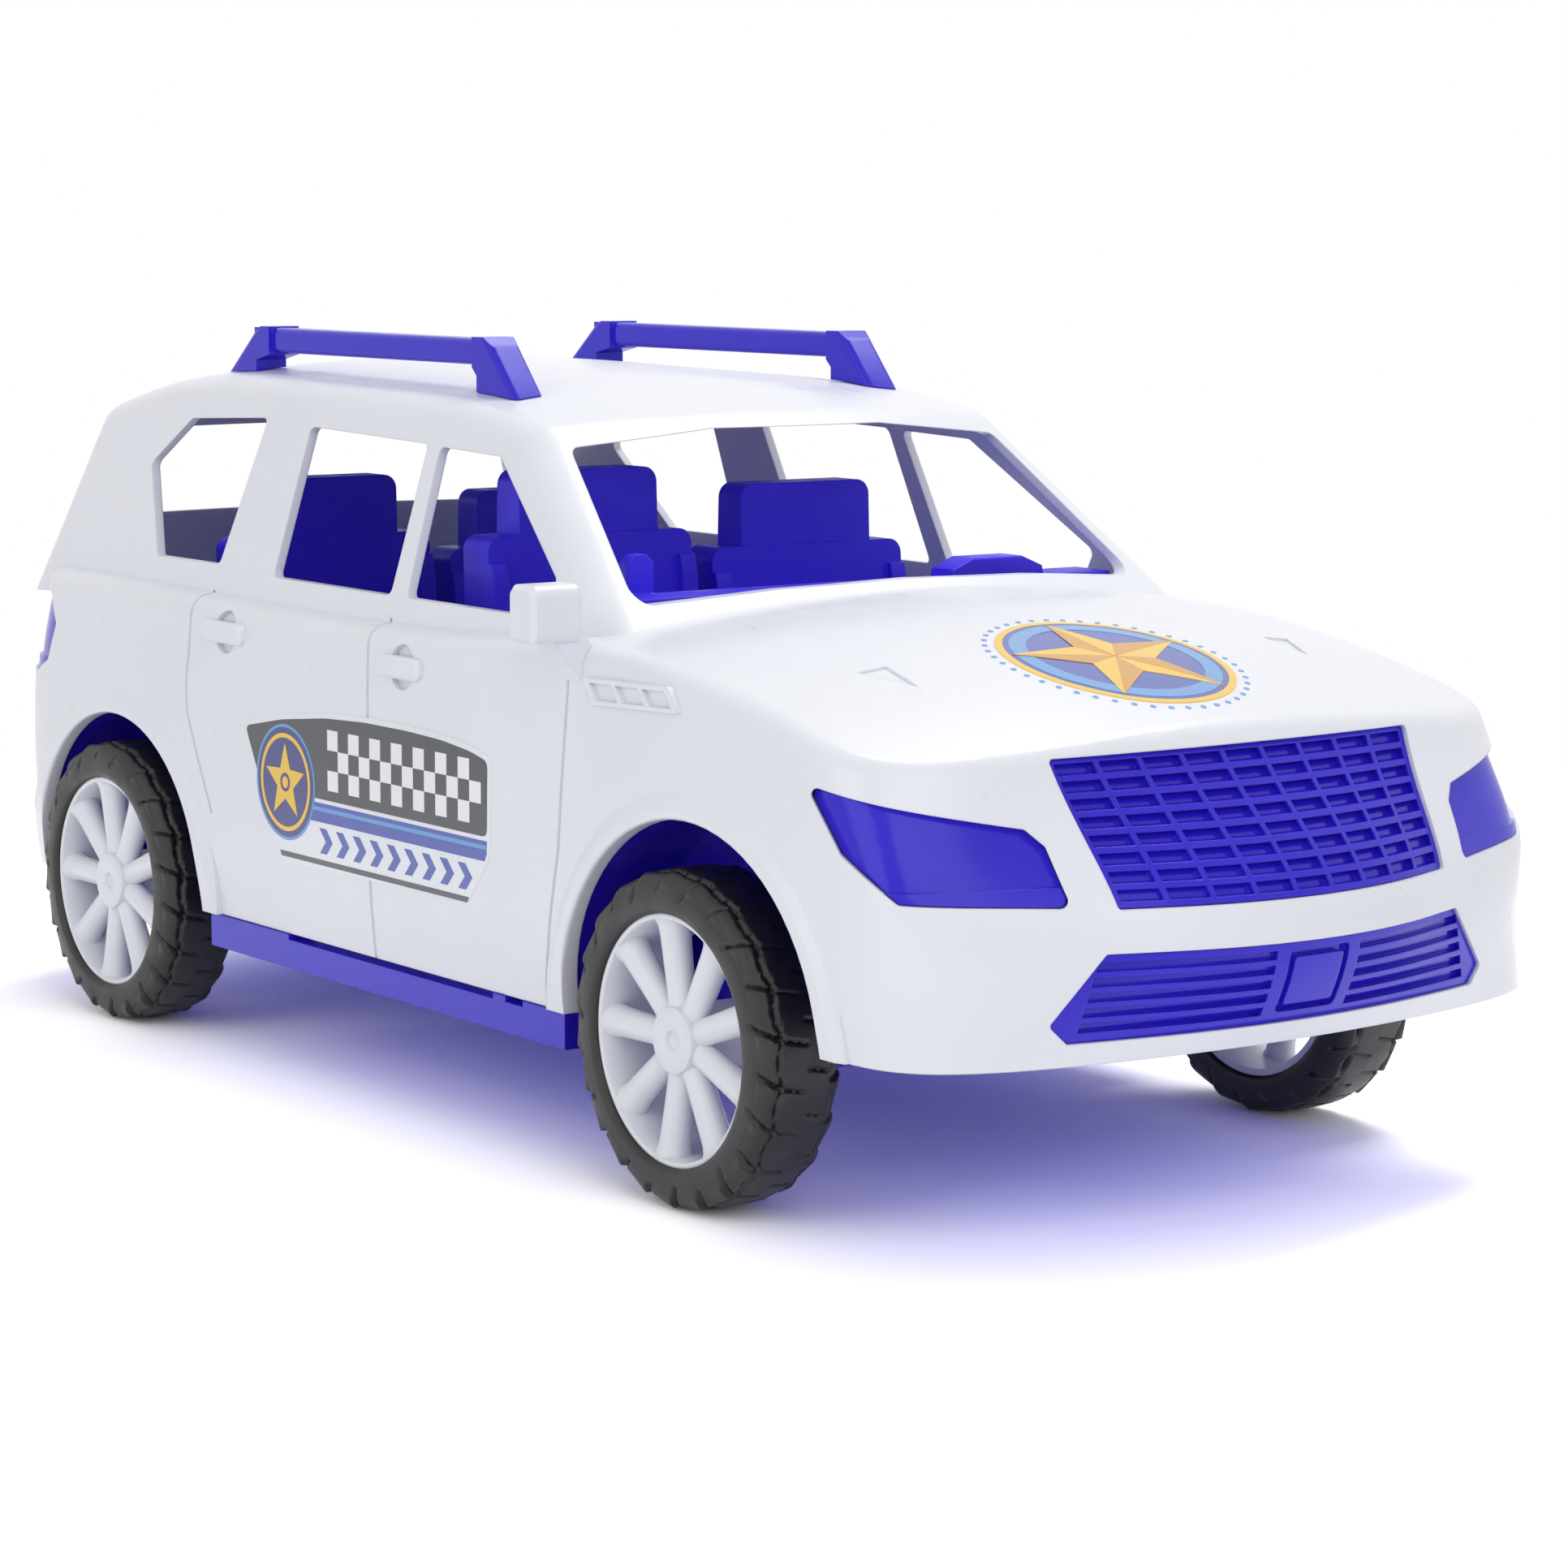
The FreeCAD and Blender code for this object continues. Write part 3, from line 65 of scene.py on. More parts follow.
WHITE_PLASTIC = linear(236, 238, 246)
BLUE_PLASTIC = linear(50, 32, 208)
BLUE_INSIDE = linear(62, 40, 236)
BLACK_PLASTIC = linear(27, 26, 24)
STEEL = linear(176, 176, 180)
PRINT_COLOURS = {
    "film": linear(238, 240, 248),
    "charcoal": linear(58, 62, 70),
    "white": linear(244, 246, 250),
    "navy": linear(46, 54, 128),
    "blue": linear(64, 84, 178),
    "sky": linear(96, 158, 220),
    "gold": linear(246, 200, 52),
    "amber": linear(214, 156, 34),
}


def new_material(name):
    """A node material with only its shader and output; gives the material, its tree and its shader."""
    material = bpy.data.materials.new(name)
    material.use_nodes = True
    tree = material.node_tree
    shader = next(node for node in tree.nodes if node.type == "BSDF_PRINCIPLED")
    return material, tree, shader


def noise(tree, scale, detail, roughness=0.5):
    """Noise in the object's own coordinates, at a scale of waves in each metre."""
    place = tree.nodes.new("ShaderNodeTexCoord")
    texture = tree.nodes.new("ShaderNodeTexNoise")
    texture.inputs["Scale"].default_value = scale
    texture.inputs["Detail"].default_value = detail
    texture.inputs["Roughness"].default_value = roughness
    tree.links.new(place.outputs["Object"], texture.inputs["Vector"])
    return texture.outputs["Fac"]


def spread(tree, source, low, high):
    """Maps a noise onto a range of values."""
    ramp = tree.nodes.new("ShaderNodeMapRange")
    ramp.inputs["From Min"].default_value = 0.3
    ramp.inputs["From Max"].default_value = 0.7
    ramp.inputs["To Min"].default_value = low
    ramp.inputs["To Max"].default_value = high
    tree.links.new(source, ramp.inputs["Value"])
    return ramp.outputs["Result"]


def tinted(tree, source, first, second):
    """A colour that drifts between two shades with a noise."""
    mix = tree.nodes.new("ShaderNodeMix")
    mix.data_type = "RGBA"
    mix.inputs["A"].default_value = first
    mix.inputs["B"].default_value = second
    tree.links.new(source, mix.inputs["Factor"])
    return mix.outputs["Result"]


def bumped(tree, shader, source, strength, distance, edge):
    """A fine relief, over edges that are rounded by a small radius where one is given."""
    bump = tree.nodes.new("ShaderNodeBump")
    bump.inputs["Strength"].default_value = strength
    bump.inputs["Distance"].default_value = distance
    tree.links.new(source, bump.inputs["Height"])
    if edge:
        rounding = tree.nodes.new("ShaderNodeBevel")
        rounding.samples = 4
        rounding.inputs["Radius"].default_value = edge
        tree.links.new(rounding.outputs["Normal"], bump.inputs["Normal"])
    tree.links.new(bump.outputs["Normal"], shader.inputs["Normal"])


def shaded(colour, share):
    """The same colour, darker by a share."""
    return tuple(channel * share for channel in colour[:3]) + (1.0,)


FLOW_WAVES = 22
GLOSS_WAVES = 160
GRAIN_WAVES = 900
GRAIN_HEIGHT = 0.00012


def moulded(name, colour, roughness, drift, grain, coat=0.0, edge=0.0, shine=0.5):
    """Injection moulded plastic: flow shades, an uneven gloss and a faint skin of the mould."""
    material, tree, shader = new_material(name)
    flow = noise(tree, FLOW_WAVES, 3)
    colour_out = tinted(tree, spread(tree, flow, 0, 1), colour, shaded(colour, drift))
    tree.links.new(colour_out, shader.inputs["Base Color"])
    gloss = noise(tree, GLOSS_WAVES, 5, 0.6)
    tree.links.new(spread(tree, gloss, roughness * 0.8, roughness * 1.25), shader.inputs["Roughness"])
    bumped(tree, shader, noise(tree, GRAIN_WAVES, 3, 0.6), grain, GRAIN_HEIGHT, edge)
    shader.inputs["Specular IOR Level"].default_value = shine
    shader.inputs["Coat Weight"].default_value = coat
    shader.inputs["Coat Roughness"].default_value = 0.12
    return material


def milky(material):
    """Lets a little light into white plastic, so that its shadows stay soft."""
    shader = next(node for node in material.node_tree.nodes if node.type == "BSDF_PRINCIPLED")
    shader.inputs["Subsurface Weight"].default_value = 0.12
    shader.inputs["Subsurface Radius"].default_value = (1.0, 0.95, 1.1)
    shader.inputs["Subsurface Scale"].default_value = 0.0025
    return material


def axle_steel():
    """Drawn wire, with streaks in its colour and gloss."""
    material, tree, shader = new_material("axle_steel_drawn")
    streaks = noise(tree, 700, 6, 0.7)
    tree.links.new(tinted(tree, spread(tree, streaks, 0, 1), STEEL, shaded(STEEL, 0.7)),
                   shader.inputs["Base Color"])
    tree.links.new(spread(tree, streaks, 0.22, 0.4), shader.inputs["Roughness"])
    shader.inputs["Metallic"].default_value = 1.0
    return material


materials = {
    "white_plastic": milky(moulded("white_plastic_body", WHITE_PLASTIC, 0.34, drift=0.965,
                                   grain=0.03, coat=0.12, edge=0.4 * MM)),
    "rim_plastic": milky(moulded("rim_white", WHITE_PLASTIC, 0.36, drift=0.96, grain=0.04, coat=0.1)),
    "blue_plastic": moulded("blue_plastic_gloss", BLUE_PLASTIC, 0.17, drift=0.9, grain=0.02,
                            edge=0.3 * MM, shine=0.3),
    "tyre_rubber": moulded("tyre_black", BLACK_PLASTIC, 0.44, drift=0.75, grain=0.2),
    "axle_steel": axle_steel(),
}
print_materials = {name: moulded("print_" + name, colour, 0.3, drift=0.94, grain=0.04, coat=0.3)
                   for name, colour in PRINT_COLOURS.items()}


def paint(piece, material):
    """Every face of a piece takes one material."""
    slots = piece.data.materials
    if not slots:
        slots.append(material)
    for index in range(len(slots)):
        slots[index] = material


for entry in frame["record"]["subparts"]:
    paint(nodes[entry["node"]], materials[entry["material_slot"]])

seat_plastic = moulded("blue_plastic_satin", BLUE_INSIDE, 0.42, drift=0.92, grain=0.03,
                       edge=0.3 * MM, shine=0.3)
SEATS = ["seat_front_left", "seat_front_right", "seat_rear_left", "seat_rear_right"]
RAILS = ["roof_rail_left", "roof_rail_right"]
LAMPS = ["headlamp_left", "headlamp_right", "tail_lamp_left", "tail_lamp_right"]
for name in SEATS + ["dashboard", "steering_wheel"]:
    paint(nodes[name], seat_plastic)


SEAT_EDGE = 0.8
RAIL_EDGE = 1.1
LAMP_EDGE = 0.6
EDGE_ANGLE = math.radians(28)


def soften(piece, width):
    """Rounds a moulding's sharp edges by a width in millimetres."""
    weld = piece.modifiers.new("weld", "WELD")
    weld.merge_threshold = 0.01 * MM
    bevel = piece.modifiers.new("bevel", "BEVEL")
    bevel.width = width * MM
    bevel.segments = 3
    bevel.limit_method = "ANGLE"
    bevel.angle_limit = EDGE_ANGLE
    piece.modifiers.new("normals", "WEIGHTED_NORMAL")


for name in SEATS + ["dashboard"]:
    soften(nodes[name], SEAT_EDGE)
for name in RAILS:
    soften(nodes[name], RAIL_EDGE)
for name in LAMPS:
    soften(nodes[name], LAMP_EDGE)


# Mesh building

class Build:
    """Vertices and faces of one piece, gathered part by part in millimetres."""

    def __init__(self):
        self.points = []
        self.faces = []
        self.inks = []

    def add(self, points):
        """Takes points in, and gives their numbers."""
        start = len(self.points)
        self.points.extend(points)
        return list(range(start, len(self.points)))

    def face(self, corners, ink=0):
        """One face, without corners that repeat."""
        kept = [corner for index, corner in enumerate(corners) if corner != corners[index - 1]]
        self.faces.append(kept)
        self.inks.append(ink)

    def strip(self, first, second):
        """Joins two rings of points, either of which may be a single point."""
        count = max(len(first), len(second))
        for index in range(count):
            following = (index + 1) % count
            self.face([first[index % len(first)], first[following % len(first)],
                       second[following % len(second)], second[index % len(second)]])

    def finish(self, name, inks, turn=None, crease=35):
        """The piece as an object, with smooth faces that break where they meet at over a crease's degrees."""
        mesh = bpy.data.meshes.new(name)
        mesh.from_pydata([Vector(point) * MM for point in self.points], [], self.faces)
        for ink in inks:
            mesh.materials.append(ink)
        mesh.polygons.foreach_set("material_index", self.inks)
        if turn is not None:
            mesh.transform(turn)
        mesh.validate()
        turned = bmesh.new()
        turned.from_mesh(mesh)
        bmesh.ops.recalc_face_normals(turned, faces=turned.faces)
        turned.to_mesh(mesh)
        turned.free()
        mesh.shade_smooth()
        mesh.set_sharp_from_angle(angle=math.radians(crease))
        piece = bpy.data.objects.new(name, mesh)
        bpy.context.scene.collection.objects.link(piece)
        return piece


def ring(radius, height, count):
    """Points round the local upright axis, or the one point on it."""
    if radius == 0:
        return [(0, 0, height)]
    turns = [2 * math.pi * index / count for index in range(count)]
    return [(radius * math.cos(turn), radius * math.sin(turn), height) for turn in turns]


def lathe(build, profile, count, closed=False):
    """Turns a profile of (radius, height) about the local upright axis."""
    rings = [build.add(ring(radius, height, count)) for radius, height in profile]
    for first, second in zip(rings, rings[1:]):
        build.strip(first, second)
    if closed:
        build.strip(rings[-1], rings[0])


# Rims: hub, tapered round spokes and a deep barrel, about the wheel's own axis with its face at 0

RIM_RADIUS = 22.4
BARREL_RADIUS = 21.1
RIM_DEPTH = 15.6
HUB_RADIUS = 6.0
SPOKES = 9
SPOKE_DEPTH = 3.7
SPOKE_STEPS = 16
SPOKE_SIDES = 20


def spoke_radius(share):
    """Thicker towards the barrel, with a soft foot at both ends."""
    return 2.35 + 0.5 * share + 0.9 * math.exp(-share / 0.06) + 0.8 * math.exp((share - 1) / 0.05)


def add_spoke(build, turn):
    """One round spoke from inside the hub to inside the barrel."""
    along = Vector((math.cos(turn), math.sin(turn), 0))
    across = Vector((-math.sin(turn), math.cos(turn), 0))
    start, end = HUB_RADIUS - 1.6, BARREL_RADIUS + 0.4
    rings = []
    for step in range(SPOKE_STEPS + 1):
        share = step / SPOKE_STEPS
        radius = spoke_radius(share)
        middle = along * (start + (end - start) * share) - Vector((0, 0, SPOKE_DEPTH))
        round_turns = [2 * math.pi * side / SPOKE_SIDES for side in range(SPOKE_SIDES)]
        rings.append(build.add([middle + across * radius * math.cos(angle)
                                + Vector((0, 0, radius * math.sin(angle))) for angle in round_turns]))
    for first, second in zip(rings, rings[1:]):
        build.strip(first, second)
    build.face(list(reversed(rings[0])))
    build.face(rings[-1])


def wheel_place(node, side):
    """Sets a piece with its face at 0 onto the outer face of its wheel's node."""
    low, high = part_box(node)
    face_y = low.y if side < 0 else high.y
    centre = Vector(((low.x + high.x) / 2, face_y, (low.z + high.z) / 2))
    return Matrix.Translation(centre) @ Matrix.Rotation(-side * math.pi / 2, 4, "X")


def make_rim(node, body, side):
    """One rim in the place of its CAD node."""
    build = Build()
    lathe(build, [(RIM_RADIUS, -RIM_DEPTH), (RIM_RADIUS, -0.5), (RIM_RADIUS - 0.15, -0.15),
                  (RIM_RADIUS - 0.5, 0), (BARREL_RADIUS + 0.75, 0), (BARREL_RADIUS + 0.3, -0.2),
                  (BARREL_RADIUS + 0.1, -0.7), (BARREL_RADIUS, -RIM_DEPTH)], 96, closed=True)
    lathe(build, [(0, -1.2), (1.6, -1.2), (1.75, -1.0), (1.75, -0.55), (1.95, -0.4),
                  (HUB_RADIUS - 0.6, -0.4), (HUB_RADIUS - 0.2, -0.55), (HUB_RADIUS, -1.0),
                  (HUB_RADIUS, -RIM_DEPTH + 1), (0, -RIM_DEPTH + 1)], 48)
    for number in range(SPOKES):
        add_spoke(build, 2 * math.pi * (number + 0.5) / SPOKES)
    rim = build.finish(node + "_moulding", [materials["rim_plastic"]], wheel_place(node, side),
                       crease=40)
    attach(rim, body)
    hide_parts(node)


# Tyres: a round-shouldered ring with notched shoulders and a staggered tread

TYRE_WIDTH = 17.3
TYRE_BLOCKS = 22
BLOCK_STEPS = 24
TYRE_BORE = 22.3
TYRE_RADIUS = 30.0
HALF_PROFILE = [(TYRE_BORE, 0.9), (22.6, 0.3), (23.4, 0.0), (24.8, 0.0), (26.2, 0.15), (27.4, 0.55),
                (28.4, 1.25), (29.1, 2.1), (29.5, 3.0), (29.75, 4.2), (29.85, 6.0), (29.9, TYRE_WIDTH / 2)]
PROFILE_STEP = 0.5

INNER_SHOULDER = 0.8 * TYRE_WIDTH
SHOULDER_END = 4.2
NOTCH_DEPTH = 0.75
NOTCH_HALF_WIDTH = 0.7
NOTCH_STARTS = (26.3, 25.2)
NOTCH_SLANT = 0.09
BUMP_HEIGHT = 0.75
BUMP_START = 26.8
BUMP_END = 3.2
ZIGZAG_DEPTH = 0.85
ZIGZAG_HALF_WIDTH = 0.6
ZIGZAG_PLACE = 2.9
ZIGZAG_SWING = 1.7
TREAD_CUT_DEPTH = 0.6
TREAD_CUT_HALF_WIDTH = 0.5
TREAD_START = 3.7
TREAD_SHIFT = 0.36
TREAD_SLANT = 0.025


def fine_profile():
    """The tyre's outline as (radius, depth from the face, outward direction), in short steps."""
    mirrored = [(radius, TYRE_WIDTH - depth) for radius, depth in reversed(HALF_PROFILE[:-1])]
    corners = HALF_PROFILE + mirrored
    points = [Vector(corners[0])]
    for start, end in zip(corners, corners[1:]):
        start, end = Vector(start), Vector(end)
        count = max(1, round((end - start).length / PROFILE_STEP))
        points += [start.lerp(end, part / count) for part in range(1, count + 1)]
    outline = []
    for index, point in enumerate(points):
        along = points[min(index + 1, len(points) - 1)] - points[max(index - 1, 0)]
        along.normalize()
        outline.append((point, Vector((along.y, -along.x))))
    return outline


def groove(distance, half_width):
    """How deep a soft groove is at a distance from its middle, from 0 to 1."""
    if abs(distance) >= half_width:
        return 0.0
    return 0.5 + 0.5 * math.cos(math.pi * distance / half_width)


def ramp(value, start, length):
    """Rises from 0 to 1 over a length after its start."""
    return min(1.0, max(0.0, (value - start) / length))


def from_boundary(phase):
    """How far a phase is from the nearest boundary of a block, as a share of the block."""
    return (phase + 0.5) % 1 - 0.5


def tyre_relief(turn, radius, depth):
    """The height of the tyre's pattern over its plain outline."""
    block_length = 2 * math.pi * radius / TYRE_BLOCKS
    phase = turn * TYRE_BLOCKS / (2 * math.pi)
    relief = 0.0
    from_face = TYRE_WIDTH - depth if depth > INNER_SHOULDER else depth
    if from_face < SHOULDER_END:
        slanted = phase + NOTCH_SLANT * (radius - 25)
        notch = groove(from_boundary(slanted) * block_length, NOTCH_HALF_WIDTH)
        relief -= NOTCH_DEPTH * notch * ramp(radius, NOTCH_STARTS[round(slanted) % 2], 0.6)
        share = slanted % 1
        bump = ramp(radius, BUMP_START, 1.0) * ramp(BUMP_END - from_face, 0, 0.8)
        relief += BUMP_HEIGHT * share ** 2 * bump
        zigzag = ZIGZAG_PLACE + ZIGZAG_SWING * abs(share - 0.5)
        relief -= ZIGZAG_DEPTH * groove(from_face - zigzag, ZIGZAG_HALF_WIDTH)
    stagger = 0.5 if depth > TYRE_WIDTH / 2 else 0
    across = phase + TREAD_SHIFT + TREAD_SLANT * depth + stagger
    cut = groove(from_boundary(across) * block_length, TREAD_CUT_HALF_WIDTH)
    relief -= TREAD_CUT_DEPTH * cut * ramp(min(depth, TYRE_WIDTH - depth), TREAD_START, 0.3)
    return min(relief, TYRE_RADIUS - radius)


def make_tyre_points():
    """Rings of points round the tyre, one for each step of its outline."""
    count = TYRE_BLOCKS * BLOCK_STEPS
    turns = [2 * math.pi * index / count for index in range(count)]
    tyre_rings = []
    for (radius, depth), outward in fine_profile():
        points = []
        for turn in turns:
            relief = tyre_relief(turn, radius, depth)
            reach = radius + outward.x * relief
            points.append((reach * math.cos(turn), reach * math.sin(turn), -(depth + outward.y * relief)))
        tyre_rings.append(points)
    return tyre_rings


TYRE_POINTS = make_tyre_points()


def make_tyre(node, body, side):
    """One tyre in the place of its CAD node."""
    build = Build()
    rings = [build.add(points) for points in TYRE_POINTS]
    for first, second in zip(rings, rings[1:]):
        build.strip(first, second)
    build.strip(rings[-1], rings[0])
    tyre = build.finish(node + "_moulding", [materials["tyre_rubber"]], wheel_place(node, side),
                        crease=60)
    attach(tyre, body)
    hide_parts(node)


for end in ("front", "rear"):
    for hand, side in (("left", 1), ("right", -1)):
        make_rim(f"rim_{end}_{hand}", f"{end}_wheels", side)
        make_tyre(f"tyre_{end}_{hand}", f"{end}_wheels", side)


# Printed labels: thin shapes laid onto the body, from outlines in millimetres

shell = nodes["body_shell"].data
shell_tree = BVHTree.FromPolygons([vertex.co for vertex in shell.vertices],
                                  [tuple(polygon.vertices) for polygon in shell.polygons])
FRONT_AXLE_X = 97.2
LABEL_DEPTH = 0.15
SEAM_REACH = 0.8
FILM, INK, BADGE, STAR = 0.10, 0.15, 0.20, 0.25
OVERPRINT = 0.03
CAST_START = 0.2
CAST_LENGTH = 0.19


def side_place(side):
    """Lays (x ahead of the front axle, z) onto the body's side, and over its seams."""
    def place(across, up, height):
        reaches = []
        for step in (-1, -0.5, 0, 0.5, 1):
            start = Vector(((across + FRONT_AXLE_X + step * SEAM_REACH) * MM, side * CAST_START, up * MM))
            hit = shell_tree.ray_cast(start, Vector((0, -side, 0)), CAST_LENGTH)
            if hit[0]:
                reaches.append(abs(hit[0].y) / MM)
        return across + FRONT_AXLE_X, side * (max(reaches) + height), up
    return place


def hood_place(across, aside, height):
    """Lays (x ahead of the front axle, y) onto the hood."""
    start = Vector(((across + FRONT_AXLE_X) * MM, aside * MM, CAST_START))
    hit = shell_tree.ray_cast(start, Vector((0, 0, -1)))
    return across + FRONT_AXLE_X, aside, hit[0].z / MM + height


def stamp(build, place, flat, faces, height, ink):
    """A thin closed solid over flat faces, laid onto the body."""
    tops = build.add([place(x, y, height) for x, y in flat])
    bottoms = build.add([place(x, y, height - LABEL_DEPTH) for x, y in flat])
    edges = set()
    for face in faces:
        build.face([tops[corner] for corner in face], ink)
        build.face([bottoms[corner] for corner in reversed(face)], ink)
        edges.update((face[index - 1], face[index]) for index in range(len(face)))
    for first, second in edges:
        if (second, first) not in edges:
            build.face([tops[second], tops[first], bottoms[first], bottoms[second]], ink)


def divided(outline, step):
    """An outline with no side longer than a step."""
    points = []
    for index, end in enumerate(outline):
        start = outline[index - 1]
        count = max(1, math.ceil(math.dist(start, end) / step))
        for part in range(count):
            share = part / count
            points.append((start[0] + (end[0] - start[0]) * share,
                           start[1] + (end[1] - start[1]) * share))
    return points


def rounded(outline, radius, count=5):
    """An outline whose corners are cut to soft curves."""
    points = []
    for index, corner in enumerate(outline):
        corner = Vector(corner)
        before = Vector(outline[index - 1]) - corner
        after = Vector(outline[(index + 1) % len(outline)]) - corner
        reach = min(radius, before.length * 0.45, after.length * 0.45)
        start = corner + before.normalized() * reach
        end = corner + after.normalized() * reach
        for part in range(count + 1):
            share = part / count
            point = start.lerp(corner, share).lerp(corner.lerp(end, share), share)
            points.append(tuple(point))
    return points


def inside(point, outline):
    """Whether a point lies within an outline, by crossings of a level line."""
    x, y = point
    odd = False
    for index, (x_end, y_end) in enumerate(outline):
        x_start, y_start = outline[index - 1]
        if (y_start > y) == (y_end > y):
            continue
        if x < x_start + (x_end - x_start) * (y - y_start) / (y_end - y_start):
            odd = not odd
    return odd


def patch(build, place, outline, height, ink, step=3.0):
    """A filled outline, on a grid fine enough to follow the body."""
    edge = divided(outline, step)
    low_x, high_x = min(x for x, _ in edge), max(x for x, _ in edge)
    low_y, high_y = min(y for _, y in edge), max(y for _, y in edge)
    grid = []
    for column in range(1, int((high_x - low_x) / step) + 1):
        for row in range(1, int((high_y - low_y) / step) + 1):
            point = (low_x + column * step, low_y + row * step)
            if inside(point, edge) and min(math.dist(point, other) for other in edge) > 0.4 * step:
                grid.append(point)
    flat = [Vector(point) for point in edge + grid]
    points, _, faces, *_ = delaunay_2d_cdt(flat, [], [list(range(len(edge)))], 1, 1e-6)
    stamp(build, place, [tuple(point) for point in points], faces, height, ink)


def band(build, place, middle, inner, outer, height, ink, count=72):
    """A ring between two radii."""
    turns = [2 * math.pi * index / count for index in range(count)]
    flat = [(middle[0] + radius * math.cos(turn), middle[1] + radius * math.sin(turn))
            for radius in (inner, outer) for turn in turns]
    faces = []
    for index in range(count):
        following = (index + 1) % count
        faces.append((index, following, count + following, count + index))
    stamp(build, place, flat, faces, height, ink)


def disc(middle, radius, count=48):
    """A round outline."""
    return [(middle[0] + radius * math.cos(2 * math.pi * index / count),
             middle[1] + radius * math.sin(2 * math.pi * index / count)) for index in range(count)]


def star(middle, outer, inner, first_turn):
    """A five-pointed star whose first point is at a turn."""
    points = []
    for index in range(10):
        radius = inner if index % 2 else outer
        turn = first_turn + index * math.pi / 5
        points.append((middle[0] + radius * math.cos(turn), middle[1] + radius * math.sin(turn)))
    return points


INKS = list(PRINT_COLOURS)
ink_of = {name: INKS.index(name) for name in INKS}

LABEL = [(-152.1, 70.6), (-136, 73.5), (-119, 75.4), (-104, 76.1), (-88.6, 76.1), (-76, 75.7),
         (-66, 74.7), (-58.6, 73.2), (-59.1, 54.5), (-67.2, 45.0), (-136.6, 43.8)]
PANEL = [(-150.6, 69.7), (-136, 72.4), (-119, 74.3), (-104, 75.0), (-88.6, 75.0), (-76, 74.6),
         (-66, 73.6), (-59.8, 72.3), (-60.1, 58.2), (-144.4, 58.2)]
STRIPE = [(-144.0, 57.4), (-60.1, 57.4), (-60.2, 54.9), (-61.0, 53.6), (-141.8, 53.6)]
STRIPE_LINE = [(-143.6, 56.6), (-60.3, 56.6), (-60.3, 55.8), (-143.1, 55.8)]
FOOT_LINE = [(-137.4, 46.1), (-66.6, 46.1), (-67.6, 45.0), (-136.9, 45.0)]
SQUARE = 4.0
CHEQUER_START = (-118.0, 60.2)
CHEQUER_COLUMNS = 14
CHEQUER_ROWS = 3
CHEVRONS = 9
CHEVRON_START = (-121.5, 47.4)
CHEVRON_PITCH = 6.4
CHEVRON_WIDTH = 2.6
CHEVRON_REACH = 2.4
CHEVRON_HALF = 2.5
SIDE_BADGE = (-134.6, 60.0)


def make_side_label(name, side):
    """A panel of chequers over a blue stripe and a row of chevrons, with a star badge at its rear end."""
    build = Build()
    place = side_place(side)
    patch(build, place, rounded(LABEL, 2.0), FILM, ink_of["film"])
    patch(build, place, rounded(PANEL, 1.6), INK, ink_of["charcoal"])
    patch(build, place, STRIPE, INK, ink_of["blue"])
    patch(build, place, STRIPE_LINE, INK + OVERPRINT, ink_of["sky"])
    patch(build, place, FOOT_LINE, INK, ink_of["charcoal"])
    for row in range(CHEQUER_ROWS):
        for column in range(row % 2, CHEQUER_COLUMNS, 2):
            left = CHEQUER_START[0] + column * SQUARE
            low = CHEQUER_START[1] + row * SQUARE
            square = [(left, low), (left + SQUARE, low), (left + SQUARE, low + SQUARE),
                      (left, low + SQUARE)]
            patch(build, place, square, INK + OVERPRINT, ink_of["white"])
    for number in range(CHEVRONS):
        left = CHEVRON_START[0] + number * CHEVRON_PITCH
        right = left + CHEVRON_WIDTH
        low = CHEVRON_START[1]
        middle = low + CHEVRON_HALF
        high = middle + CHEVRON_HALF
        chevron = [(left, low), (right, low), (right + CHEVRON_REACH, middle), (right, high),
                   (left, high), (left + CHEVRON_REACH, middle)]
        patch(build, place, chevron, INK, ink_of["blue"])
    patch(build, place, disc(SIDE_BADGE, 11.6), BADGE - OVERPRINT, ink_of["sky"])
    patch(build, place, disc(SIDE_BADGE, 11.0), BADGE, ink_of["navy"])
    band(build, place, SIDE_BADGE, 8.9, 9.8, BADGE + OVERPRINT, ink_of["gold"])
    patch(build, place, star(SIDE_BADGE, 7.9, 3.3, math.pi / 2), STAR, ink_of["gold"], 2.0)
    band(build, place, SIDE_BADGE, 1.2, 1.9, STAR + OVERPRINT, ink_of["navy"], 24)
    label = build.finish(name, [print_materials[ink] for ink in INKS])
    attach(label, "car")


HOOD_BADGE = (30.5, -1.5)
HALO_DOTS = 44
HALO_RADIUS = 23.2
HALO_DOT_RADIUS = 0.55


def make_hood_badge():
    """A star in a ring, with its first point to the windscreen."""
    build = Build()
    patch(build, hood_place, disc(HOOD_BADGE, 20.3), FILM, ink_of["blue"])
    band(build, hood_place, HOOD_BADGE, 15.8, 18.9, INK, ink_of["sky"])
    band(build, hood_place, HOOD_BADGE, 20.0, 21.4, INK, ink_of["gold"])
    points = star(HOOD_BADGE, 19.6, 7.6, math.pi)
    patch(build, hood_place, points, BADGE, ink_of["gold"])
    for index in range(0, 10, 2):
        facet = [HOOD_BADGE, points[index], points[(index + 1) % 10]]
        patch(build, hood_place, facet, BADGE + OVERPRINT, ink_of["amber"])
    for number in range(HALO_DOTS):
        turn = 2 * math.pi * number / HALO_DOTS
        middle = (HOOD_BADGE[0] + HALO_RADIUS * math.cos(turn),
                  HOOD_BADGE[1] + HALO_RADIUS * math.sin(turn))
        patch(build, hood_place, disc(middle, HALO_DOT_RADIUS, 10), FILM, ink_of["sky"])
    badge = build.finish("hood_badge", [print_materials[ink] for ink in INKS])
    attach(badge, "car")


